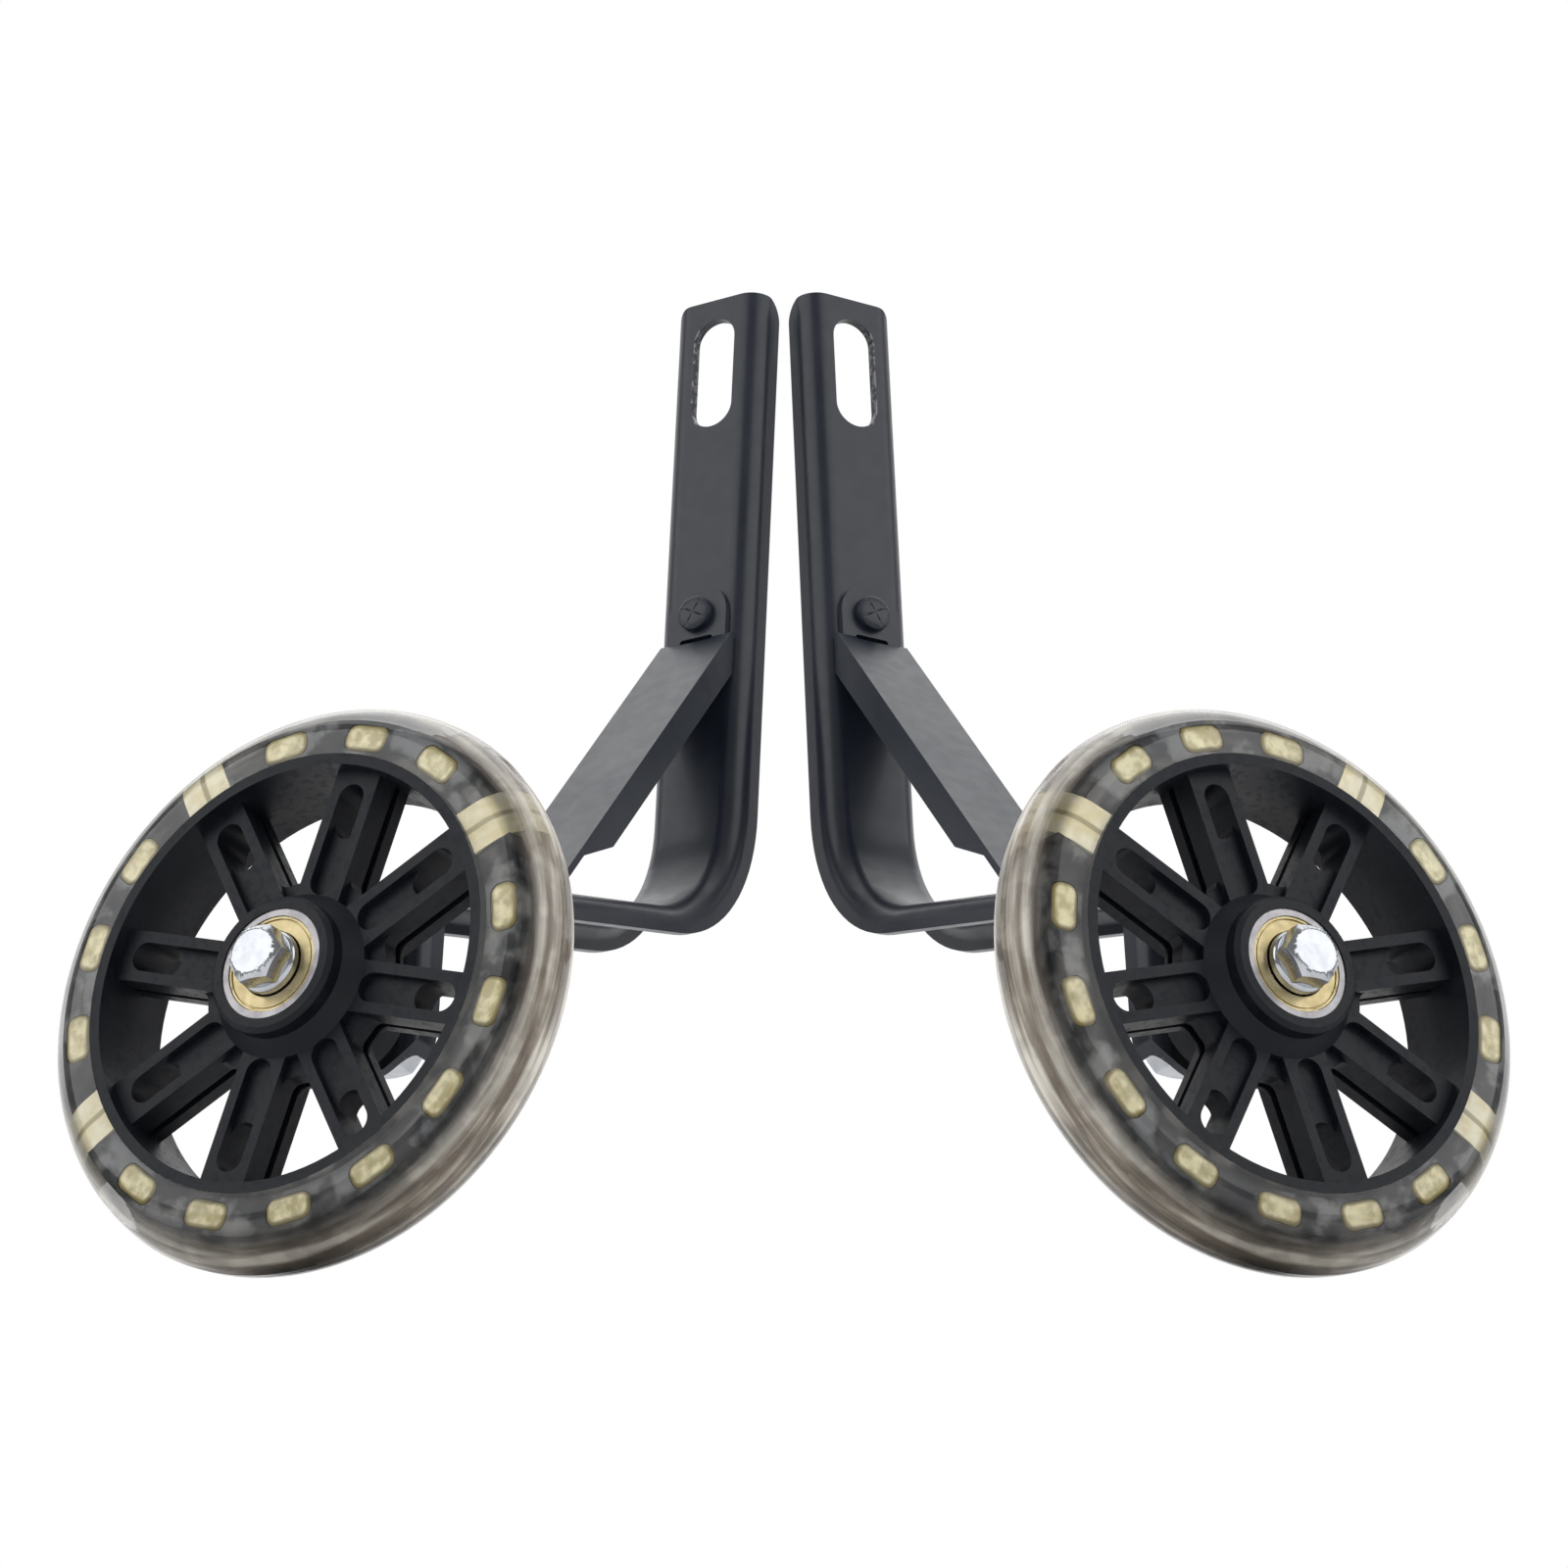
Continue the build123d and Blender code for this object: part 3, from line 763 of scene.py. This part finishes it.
class Finishes:
    """Every finish of the object, made once."""

    def __init__(self, unit: Unit) -> None:
        """Mix them all, in the left unit's frame."""
        self.ring = LightRing(unit)
        self.paint = SatinPaint().material(unit)
        self.plastic = MouldedPlastic().material(unit)
        zinc = Metal("bright_zinc", (0.70, 0.72, 0.75), (0.50, 0.52, 0.56), 0.12, 0.10)
        steel = Metal("ground_steel", (0.42, 0.41, 0.42), (0.28, 0.27, 0.28), 0.24, 0.12)
        gold = Metal("gold_passivate", (0.60, 0.51, 0.30), (0.42, 0.34, 0.17), 0.24, 0.12)
        magnet = Metal("magnet_iron", (0.20, 0.20, 0.21), (0.12, 0.12, 0.13), 0.45, 0.2)
        self.zinc, self.steel, self.gold, self.magnet = (
            metal.material(unit) for metal in (zinc, steel, gold, magnet)
        )
        self.clear = ClearUrethane().material(unit)
        # Window keys: the cream stands for light shining through the windows; pale patches are painted highlights, the
        # olive border painted shade.
        key = CreamResin("window_cream", (0.50, 0.44, 0.22), (0.86, 0.80, 0.52), 2.6 * MM)
        self.key = key.material(self.ring.window_outline)
        module = CreamResin("module_cream", (0.74, 0.66, 0.40), (0.86, 0.82, 0.64), 4.0 * MM)
        self.module = module.material(self.ring.module_joint)


class Bench:
    """Modelling by hand: operators on one piece at a time."""

    weld = 0.002 * MM
    flat_angle = math.radians(0.6)
    edge_angle = math.radians(38.0)

    @staticmethod
    def clear() -> None:
        """Leave edit mode and deselect everything."""
        active = bpy.context.view_layer.objects.active
        if active and active.mode != "OBJECT":
            bpy.ops.object.mode_set(mode="OBJECT")
        bpy.ops.object.select_all(action="DESELECT")

    @classmethod
    def take(cls, piece: bpy.types.Object) -> bpy.types.Object:
        """Select one piece alone and make it active."""
        cls.clear()
        piece.select_set(True)
        bpy.context.view_layer.objects.active = piece
        return piece

    @classmethod
    def start(cls, name: str, primitive: Callable[..., object], **sizes: object) -> bpy.types.Object:
        """Add a primitive as the start of a piece.

        Args:
            name: Name of the piece.
            primitive: Operator that adds it.
            sizes: The operator's sizes and place.

        Returns:
            The new object, selected and active.
        """
        cls.clear()
        primitive(**sizes)
        piece = bpy.context.view_layer.objects.active
        piece.name = name
        piece.data.name = name
        return piece

    @classmethod
    def pick(cls, piece: bpy.types.Object, kind: Pick, test: Callable[[object], bool]) -> None:
        """Select elements in edit mode.

        Args:
            piece: Object to edit.
            kind: What to select.
            test: Whether an element is selected.
        """
        cls.take(piece)
        bpy.ops.object.mode_set(mode="EDIT")
        bpy.ops.mesh.select_mode(type=kind.name)
        bpy.ops.mesh.select_all(action="DESELECT")
        bpy.ops.object.mode_set(mode="OBJECT")
        for element in getattr(piece.data, kind.value):
            element.select = test(element)
        bpy.ops.object.mode_set(mode="EDIT")

    @classmethod
    def whole(cls, piece: bpy.types.Object) -> None:
        """Select all of a piece in edit mode."""
        cls.pick(piece, Pick.VERT, lambda vert: True)

    @classmethod
    def closed(cls, piece: bpy.types.Object) -> bpy.types.Object:
        """Merge doubles, point the faces outwards and leave edit mode."""
        cls.whole(piece)
        bpy.ops.mesh.remove_doubles(threshold=cls.weld)
        bpy.ops.mesh.normals_make_consistent(inside=False)
        cls.clear()
        return piece

    @classmethod
    def drawn(cls, name: str, profile: Profile) -> bpy.types.Object:
        """Draw a closed outline in the XZ plane, point by point.

        Args:
            name: Name of the piece.
            profile: Corners as (x, z).

        Returns:
            The outline, in edit mode with all of it selected.
        """
        piece = cls.start(name, bpy.ops.mesh.primitive_plane_add, size=MM)
        cls.whole(piece)
        bpy.ops.mesh.merge(type="CENTER")
        bpy.ops.transform.translate(value=(profile[0][0], 0.0, profile[0][1]))
        for here, there in zip(profile, profile[1:]):
            step = (there[0] - here[0], 0.0, there[1] - here[1])
            bpy.ops.mesh.extrude_vertices_move(TRANSFORM_OT_translate={"value": step})
        bpy.ops.mesh.select_all(action="SELECT")
        bpy.ops.mesh.edge_face_add()
        bpy.ops.mesh.delete(type="ONLY_FACE")
        bpy.ops.mesh.select_all(action="SELECT")
        return piece

    @classmethod
    def spun(cls, name: str, profile: Profile, steps: int) -> bpy.types.Object:
        """Spin an outline, drawn as (place along the axle, radius), once round the axle."""
        piece = cls.drawn(name, profile)
        bpy.ops.mesh.spin(steps=steps, angle=math.tau, center=(0, 0, 0), axis=(1, 0, 0))
        return cls.closed(piece)

    @classmethod
    def modified(cls, piece: bpy.types.Object, kind: str, **settings: object) -> bpy.types.Object:
        """Add a modifier of one kind with its settings, and apply it."""
        cls.take(piece)
        modifier = piece.modifiers.new(kind.lower(), kind)
        for key, value in settings.items():
            setattr(modifier, key, value)
        bpy.ops.object.modifier_apply(modifier=modifier.name)
        return piece

    @classmethod
    def smooth(cls, piece: bpy.types.Object, degrees: float) -> bpy.types.Object:
        """Shade smooth, except over edges that are sharper than an angle."""
        cls.take(piece)
        bpy.ops.object.shade_smooth_by_angle(angle=math.radians(degrees))
        return piece

    @classmethod
    def copy(cls, piece: bpy.types.Object, name: str, place: Matrix) -> bpy.types.Object:
        """Copy a piece, with its own mesh, to another place.

        Args:
            piece: Object to copy.
            name: Name of the copy.
            place: Where the copy goes; a reflection turns its faces round again.

        Returns:
            The copy, which sits at the origin with its place in its mesh.
        """
        made = bpy.data.objects.new(name, piece.data.copy())
        made.data.name = name
        bpy.context.scene.collection.objects.link(made)
        made.data.transform(place)
        if place.determinant() < 0:
            made.data.flip_normals()
        return made

    @classmethod
    def repeated(cls, model: bpy.types.Object, name: str, places: Sequence[Matrix]) -> bpy.types.Object:
        """Copy a piece to several places and join the copies.

        Args:
            model: Object to copy.
            name: Name of the result.
            places: Where the copies go.

        Returns:
            The joined object.
        """
        copies = [cls.copy(model, f"{name}_{number}", place) for number, place in enumerate(places)]
        result = cls.take(copies[0])
        for piece in copies:
            piece.select_set(True)
        bpy.ops.object.join()
        result.name = name
        result.data.name = name
        return result

    @classmethod
    def stamped(
        cls, piece: bpy.types.Object, count: int, turn: float, half: float, level: float, depth: float
    ) -> bpy.types.Object:
        """Press marks into the outboard face of a piece that was spun about the axle.

        Args:
            piece: Object to press.
            count: Marks in a full turn.
            turn: Angle of one mark from the fore-and-aft line.
            half: Half the angle that a mark takes up.
            level: Place along the axle beyond which points are pressed.
            depth: How far they move.

        Returns:
            The same object, in object mode.
        """
        sector = math.tau / count

        def in_mark(vert: bpy.types.MeshVertex) -> bool:
            """Whether a point is on the face, at one of the marks."""
            angle = (math.atan2(vert.co.z, vert.co.y) - turn) % sector
            return vert.co.x > level and min(angle, sector - angle) < half

        cls.pick(piece, Pick.VERT, in_mark)
        bpy.ops.transform.translate(value=(-depth, 0.0, 0.0))
        cls.clear()
        return piece

    @classmethod
    def softened(cls, source: bpy.types.Object, name: str, width: float) -> bpy.types.Object:
        """Copy a CAD node and roll its sharp edges over.

        Args:
            source: The CAD node's object.
            name: Name of the copy.
            width: Width of the rolled edge.

        Returns:
            The copy, shaded.
        """
        piece = cls.take(cls.copy(source, name, Matrix.Identity(4)))
        bpy.ops.mesh.customdata_custom_splitnormals_clear()
        cls.whole(piece)
        bpy.ops.mesh.remove_doubles(threshold=cls.weld)
        bpy.ops.mesh.dissolve_limited(angle_limit=cls.flat_angle)
        cls.clear()
        cls.modified(
            piece,
            "BEVEL",
            width=width,
            segments=2,
            limit_method="ANGLE",
            angle_limit=cls.edge_angle,
            use_clamp_overlap=True,
            miter_outer="MITER_ARC",
        )
        cls.smooth(piece, degrees=32.0)
        return cls.modified(piece, "WEIGHTED_NORMAL", weight=100, keep_sharp=True)


@dataclass(frozen=True)
class Look:
    """A new piece's material, the body that carries it and its material slot of the record."""

    finish: bpy.types.Material
    body: str
    slot: str


@dataclass
class Pair:
    """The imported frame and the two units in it."""

    frame: dict
    units: dict[Side, Unit] = field(init=False)

    def __post_init__(self) -> None:
        """Read each unit's place from its wheel joint."""
        joints = {joint["name"]: joint for joint in self.frame["joints"]}
        self.units = {}
        for side in Side:
            joint = joints[f"{side.value}_wheel_spin"]
            self.units[side] = Unit(side, Vector(joint["pos_m"]), Vector(joint["axis"]).normalized())

    def __iter__(self) -> Iterator[Unit]:
        """Both units, left first."""
        return iter(self.units.values())

    def paint(self, unit: Unit, finish: bpy.types.Material, name: str) -> None:
        """Dress a CAD node, named without the side, that keeps its shape."""
        node = self.frame["nodes"][unit.node(name)]
        node.data.materials.clear()
        node.data.materials.append(finish)
        LOG.info("%s keeps its shape and gets %s", node.name, finish.name)

    def fit(
        self, piece: bpy.types.Object, unit: Unit, look: Look, stands_for: Sequence[str] = ()
    ) -> None:
        """Dress a new piece and set it on its body.

        Args:
            piece: The new piece, in the row frame.
            unit: Unit that has it.
            look: Its material, body and slot.
            stands_for: CAD nodes that it replaces, without the side.
        """
        piece.data.materials.clear()
        piece.data.materials.append(look.finish)
        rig.ride(piece, look.body)
        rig.slot(piece, look.slot)
        if stands_for:
            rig.replaces(piece, *[unit.node(name) for name in stands_for])
        LOG.info("%s rides on %s", piece.name, look.body)

    def rework(self, unit: Unit, node: str, name: str, width: float, look: Look) -> None:
        """Put a copy with rolled edges in the place of a CAD node.

        Args:
            unit: Unit that has the node.
            node: The node's name without the side.
            name: Name of the copy without the side.
            width: Width of the rolled edges.
            look: The copy's material, body and slot.
        """
        piece = Bench.softened(self.frame["nodes"][unit.node(node)], unit.node(name), width)
        self.fit(piece, unit, look, [node])


@dataclass
class Bracketwork:
    """Bracket, brace and rivets: pressed sheet with rolled edges and peened rivet heads.

    The rounding of the head is listed in millimetres, as (depth below its top, radius).
    """

    edge: float = 0.35 * MM
    brace_edge: float = 0.45 * MM
    sheet: float = 2.0 * MM
    brace_sheet: float = 1.6 * MM
    head: float = 4.0 * MM
    head_height: float = 2.0 * MM
    head_round: Profile = ((0.75, 4.0), (0.45, 3.9), (0.25, 3.6), (0.06, 2.1), (0.0, 1.2), (0.0, 0.4))
    shank: float = 2.5 * MM
    tail: float = 3.7 * MM
    tail_height: float = 1.2 * MM
    tail_chamfer: float = 0.3 * MM
    rivet_steps: int = 48
    cross_arms: int = 4
    cross_turn: float = -0.5
    cross_half: float = 0.07
    cross_zone: float = 0.1 * MM
    cross_depth: float = 0.22 * MM
    arm_rivet: Vector = field(default_factory=lambda: Vector((-129.8, 0.0, 138.5)) * MM)
    leg_rivet: Vector = field(default_factory=lambda: Vector((-62.110, 0.0, 45.151)) * MM)
    leg_turn: float = math.radians(-71.5)

    def rivet(self) -> bpy.types.Object:
        """Model one rivet along the X axis, its head cross-peened.

        Returns:
            The rivet, the bracket's face at the origin.
        """
        top = self.brace_sheet + self.head_height
        end = -self.sheet - self.tail_height
        profile = [
            (end, 0.0),
            (end, self.tail - self.tail_chamfer),
            (end + self.tail_chamfer, self.tail),
            (-self.sheet, self.tail),
            (-self.sheet, self.shank),
            (self.brace_sheet, self.shank),
            (self.brace_sheet, self.head),
            *((top - drop * MM, radius * MM) for drop, radius in self.head_round),
            (top, 0.0),
        ]
        piece = Bench.spun("rivet_model", profile, self.rivet_steps)
        mark = (self.cross_arms, self.cross_turn, self.cross_half)
        piece = Bench.stamped(piece, *mark, top - self.cross_zone, self.cross_depth)
        return Bench.smooth(piece, degrees=28.0)

    def build(self, pair: Pair, finishes: Finishes) -> None:
        """Make the pressings of both units.

        Args:
            pair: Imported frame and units.
            finishes: The object's materials.
        """
        model = self.rivet()
        on_arm = Matrix.Translation(self.arm_rivet)
        on_leg = Matrix.Translation(self.leg_rivet) @ Matrix.Rotation(self.leg_turn, 4, "Y")
        look = Look(finishes.paint, "frame", "black_paint")
        for unit in pair:
            for name, width in {"bracket": self.edge, "brace": self.brace_edge}.items():
                pair.rework(unit, name, f"painted_{name}", width, look)
            places = [unit.matrix @ place for place in (on_arm, on_leg)]
            rivets = Bench.repeated(model, unit.node("peened_rivets"), places)
            pair.fit(rivets, unit, look, ["brace_rivets"])
        bpy.data.objects.remove(model)


@dataclass
class Tyre:
    """Clear tyre, its cream window keys and its light modules; the keys' cream is painted light that stands for the
    light shining through the windows.
    """

    radius: float = 56.5 * MM
    depth: float = 12.5 * MM
    half_width: float = 9.4 * MM
    crown: float = 8.6 * MM
    rim_half: float = 9.8 * MM
    sunk: float = 0.6 * MM
    seam: float = 0.12 * MM
    seam_half: float = 0.35 * MM
    steps: int = 180
    arc_steps: int = 14
    key_length: float = 9.7 * MM
    key_height: float = 5.35 * MM
    key_depth: float = 15.0 * MM
    key_corner: float = 2.1 * MM
    key_frame: float = 0.7 * MM
    key_dome: float = 0.35 * MM
    key_dish: float = 0.175 * MM
    key_edge: float = 0.2 * MM
    key_edge_angle: float = math.radians(25.0)
    key_facing: float = 0.9
    module_edge: float = 0.4 * MM

    def section(self) -> list[tuple[float, float]]:
        """Outline of the tyre's section.

        Returns:
            Corners as (place along the axle, radius), the inner ones sunk into the rim.
        """
        rim_radius = self.radius - self.depth
        crest = self.radius - self.seam
        rise = self.crown - self.seam
        arc_radius = (self.half_width**2 + rise**2) / (2 * rise)
        start = math.asin((arc_radius - rise) / arc_radius)
        arc = []
        for step in range(self.arc_steps):
            angle = start + (math.pi / 2 - start) * step / self.arc_steps
            arc.append((arc_radius * math.cos(angle), crest - arc_radius * (1.0 - math.sin(angle))))
        half = [
            (self.rim_half - self.sunk, rim_radius - self.sunk),
            (self.rim_half, rim_radius),
            *arc,
            (self.seam_half, crest),
        ]
        return half + [(0.0, self.radius)] + [(-x, r) for x, r in reversed(half)]

    def clear_ring(self) -> bpy.types.Object:
        """Model the tyre in the unit's own frame."""
        return Bench.smooth(Bench.spun("tyre_model", self.section(), self.steps), degrees=40.0)

    def window_key(self, middle: float) -> bpy.types.Object:
        """Model one window key, set on the Z axis.

        Args:
            middle: Radius of its middle.

        Returns:
            The key in the wheel's own frame.
        """
        piece = Bench.start("key_model", bpy.ops.mesh.primitive_cube_add, size=1.0)
        Bench.whole(piece)
        bpy.ops.transform.resize(value=(self.key_depth, self.key_length, self.key_height))
        points = piece.data.vertices
        Bench.pick(piece, Pick.EDGE, lambda edge: math.prod(points[k].co.x for k in edge.vertices) < 0.0)
        bpy.ops.mesh.bevel(offset=self.key_corner, segments=5, affect="EDGES")
        for outward in (1.0, -1.0):
            Bench.pick(piece, Pick.FACE, lambda face: face.normal.x * outward > self.key_facing)
            bpy.ops.mesh.inset(thickness=self.key_frame)
            bpy.ops.transform.translate(value=(outward * self.key_dome, 0.0, 0.0))
            bpy.ops.mesh.inset(thickness=self.key_frame)
            bpy.ops.transform.translate(value=(-outward * self.key_dish, 0.0, 0.0))
        Bench.whole(piece)
        bpy.ops.transform.translate(value=(0.0, 0.0, middle))
        Bench.closed(piece)
        Bench.modified(piece, "BEVEL", width=self.key_edge, segments=2, angle_limit=self.key_edge_angle)
        return Bench.smooth(piece, degrees=30.0)

    def build(self, pair: Pair, finishes: Finishes) -> None:
        """Make both tyres.

        Args:
            pair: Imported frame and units.
            finishes: The object's materials.
        """
        lights = finishes.ring
        tyre_model, key_model = self.clear_ring(), self.window_key(lights.radius)
        for unit in pair:
            body = unit.node("wheel")
            tyre = Bench.copy(tyre_model, unit.node("clear_tyre"), unit.matrix)
            pair.fit(tyre, unit, Look(finishes.clear, body, "clear_polyurethane"), ["tyre"])
            places = [unit.matrix @ Matrix.Rotation(lights.angle(k), 4, "X") for k in lights.windows]
            # Window keys: painted backlight, highlights and shade where light shows through the windows.
            keys = Bench.repeated(key_model, unit.node("window_keys"), places)
            pair.fit(keys, unit, Look(finishes.key, body, "cream_plastic"))
            look = Look(finishes.module, body, "cream_plastic")
            pair.rework(unit, "light_modules", "potted_modules", self.module_edge, look)
        for model in (tyre_model, key_model):
            bpy.data.objects.remove(model)


@dataclass
class Hub:
    """Spoked hub core with softened mould edges."""

    edge: float = 0.35 * MM

    def build(self, pair: Pair, finishes: Finishes) -> None:
        """Make both hubs."""
        for unit in pair:
            look = Look(finishes.plastic, unit.node("wheel"), "black_plastic")
            pair.rework(unit, "hub_core", "moulded_hub", self.edge, look)


@dataclass
class Bearings:
    """Shielded ball bearings: pressed shields over the CAD races, balls and cages.

    The shield's plate, groove and bead are listed in millimetres, as (place along the axle, radius).
    """

    face: float = 13.2 * MM
    width: float = 7.0 * MM
    recess: float = 0.3 * MM
    sheet: float = 0.21 * MM
    plate: Profile = ((-0.10, 6.4), (0.0, 6.55), (0.0, 8.72))
    groove: Profile = ((-0.22, 8.80), (-0.22, 8.95))
    bead: Profile = ((0.10, 9.06), (0.10, 9.46), (0.0, 9.58))
    steps: int = 96
    notches: int = 8
    notch_half: float = 0.05
    notch_zone: float = 0.05 * MM
    notch_depth: float = 0.2 * MM

    def shield(self) -> bpy.types.Object:
        """Model one pressed shield that faces outboard at the origin."""
        front = [(x * MM, r * MM) for x, r in (*self.plate, *self.groove, *self.bead)]
        back = [(x - self.sheet, r) for x, r in reversed(front)]
        piece = Bench.spun("shield_model", front + back, self.steps)
        mark = (self.notches, math.pi / self.notches, self.notch_half)
        piece = Bench.stamped(piece, *mark, self.notch_zone, self.notch_depth)
        return Bench.smooth(piece, degrees=30.0)

    def build(self, pair: Pair, finishes: Finishes) -> None:
        """Make the bearings of both units.

        Args:
            pair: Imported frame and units.
            finishes: The object's materials.
        """
        model = self.shield()
        turned_round = Matrix.Rotation(math.pi, 4, "Z")
        outer = Matrix.Translation((self.face - self.recess, 0, 0))
        inner = Matrix.Translation((self.face - self.width + self.recess, 0, 0)) @ turned_round
        for unit in pair:
            look = Look(finishes.gold, unit.node("wheel"), "gold_passivate")
            for half in Half:
                flip = Matrix.Identity(4) if half is Half.OUTBOARD else turned_round
                places = [unit.matrix @ flip @ place for place in (outer, inner)]
                shields = Bench.repeated(model, unit.node(f"{half.value}_pressed_shields"), places)
                pair.fit(shields, unit, look, [f"{half.value}_shields"])
                for part in ("inner_race", "outer_race", "balls", "cage"):
                    pair.paint(unit, finishes.steel, f"{half.value}_{part}")
        bpy.data.objects.remove(model)


@dataclass
class Axles:
    """Bolt, nut, washers and spacers."""

    edge: float = 0.18 * MM

    def build(self, pair: Pair, finishes: Finishes) -> None:
        """Dress the axle hardware of both units."""
        bright = ("axle_bolt", "axle_collar", "tab_spacer", "flat_washer", "spring_washer", "axle_nut")
        look = Look(finishes.zinc, "frame", "bright_zinc")
        for unit in pair:
            for name in bright:
                pair.rework(unit, name, f"plated_{name}", self.edge, look)
            pair.paint(unit, finishes.magnet, "magnet_sleeve")


@dataclass(frozen=True)
class SoftBox:
    """A rectangular lamp."""

    name: str
    place: Vector
    size: tuple[float, float]
    watts: float


@dataclass
class Studio:
    """Floor, lamps, background and camera."""

    camera_place: Vector = field(default_factory=lambda: Vector((0.0, -1.04382, -0.4078)))
    camera_pitch: float = math.radians(26.93)
    camera_clip: Span = (0.05, 20.0)
    lens: float = 135.0
    sensor: float = 36.0
    floor_size: float = 6.0
    floor_drop: float = 0.2 * MM
    floor_fade: Span = (0.25, 1.1)
    floor_patch: float = 60.0 * MM
    floor_tones: tuple[Colour, Colour] = ((0.86, 0.86, 0.86), (0.90, 0.90, 0.90))
    white: Colour = (1.0, 1.0, 1.0)
    ambient: float = 0.45
    room: float = 0.22
    backdrop: Span = (0.25, 0.60)
    aim: Vector = field(default_factory=lambda: Vector((0.0, 0.0, 0.12)))
    boxes: tuple[SoftBox, ...] = (
        SoftBox("top_box", Vector((0.0, 0.35, 1.7)), (2.2, 1.8), 12.5),
        SoftBox("left_box", Vector((-1.55, -0.85, 1.0)), (2.4, 1.4), 14.0),
        SoftBox("right_box", Vector((1.55, -0.85, 1.0)), (2.4, 1.4), 14.0),
    )

    def floor(self) -> None:
        """Lay a pale floor that shows from above only and fades out into the white background."""
        piece = Bench.start("floor", bpy.ops.mesh.primitive_plane_add, size=self.floor_size)
        piece.location.z = -self.floor_drop
        mix = Finish("pale_floor")
        colour = mix.blend(mix.cloud(self.floor_patch, detail=3.0), *self.floor_tones)
        under = mix.node("ShaderNodeNewGeometry", out="Backfacing")
        empty = mix.node("ShaderNodeBsdfTransparent", out="BSDF")
        away = mix.node(
            "ShaderNodeVectorMath", {"operation": "LENGTH"}, {"Vector": mix.place()}, out="Value"
        )
        cover = mix.over(under.larger(away.ramp(*self.floor_fade)), empty)
        piece.data.materials.append(mix.surface(cover, Base_Color=colour, Roughness=0.7))
        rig.stage(piece)

    def background(self) -> None:
        """White where it is looked at or through and where metal mirrors the backdrop, dim elsewhere."""
        world = bpy.data.worlds.new("white_studio")
        bpy.context.scene.world = world
        world.use_nodes = True
        mix = Recipe(world.node_tree)
        path = mix.node("ShaderNodeLightPath", out="Is Camera Ray")
        rays = path.socket.node.outputs
        glossy = Signal(mix.tree, rays["Is Glossy Ray"])
        through = Signal(mix.tree, rays["Is Transmission Ray"])
        direction = mix.node("ShaderNodeTexCoord", out="Generated")
        depth = mix.node("ShaderNodeSeparateXYZ", sockets={"Vector": direction}, out="Y")
        mirrored = glossy * (self.room + (1.0 - self.room) * depth.ramp(*self.backdrop))
        plain = self.ambient * (1.0 - glossy)
        strength = path.larger(through).larger(mirrored).larger(plain)
        sockets = {"Color": self.white, "Strength": strength}
        light = mix.node("ShaderNodeBackground", sockets=sockets, out="Background")
        mix.node("ShaderNodeOutputWorld", sockets={"Surface": light})

    def hang(self, box: SoftBox) -> None:
        """Hang one lamp, facing the object."""
        data = bpy.data.lights.new(box.name, "AREA")
        data.shape = "RECTANGLE"
        data.size, data.size_y = box.size
        data.energy = box.watts
        lamp = bpy.data.objects.new(box.name, data)
        bpy.context.scene.collection.objects.link(lamp)
        lamp.location = box.place
        lamp.rotation_euler = (self.aim - box.place).to_track_quat("-Z", "Y").to_euler()

    def build(self) -> None:
        """Set up the whole studio."""
        scene = bpy.context.scene
        scene.view_settings.view_transform = "Standard"
        self.floor()
        self.background()
        for box in self.boxes:
            self.hang(box)
        data = bpy.data.cameras.new("photo_camera")
        data.lens = self.lens
        data.sensor_width = self.sensor
        data.clip_start, data.clip_end = self.camera_clip
        camera = bpy.data.objects.new("photo_camera", data)
        scene.collection.objects.link(camera)
        camera.location = self.camera_place
        camera.rotation_euler = (math.pi / 2 + self.camera_pitch, 0.0, 0.0)
        scene.camera = camera


def corners(box: tuple[Vector, Vector]) -> list[list[float]]:
    """A box as plain lists of numbers."""
    return [list(corner) for corner in box]


def main() -> None:
    """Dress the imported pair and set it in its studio."""
    logging.basicConfig(level=logging.INFO, format="%(message)s")
    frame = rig.load()
    cad_box = corners(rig.bounds())
    pair = Pair(frame)
    finishes = Finishes(pair.units[Side.LEFT])
    for assembly in (Bracketwork(), Tyre(), Hub(), Bearings(), Axles()):
        assembly.build(pair, finishes)
    Studio().build()
    with open(SIZE_FILE, "w", encoding="utf-8") as sizes:
        json.dump({"cad": cad_box, "visual": corners(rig.bounds())}, sizes, indent=1)


if __name__ == "__main__":
    main()
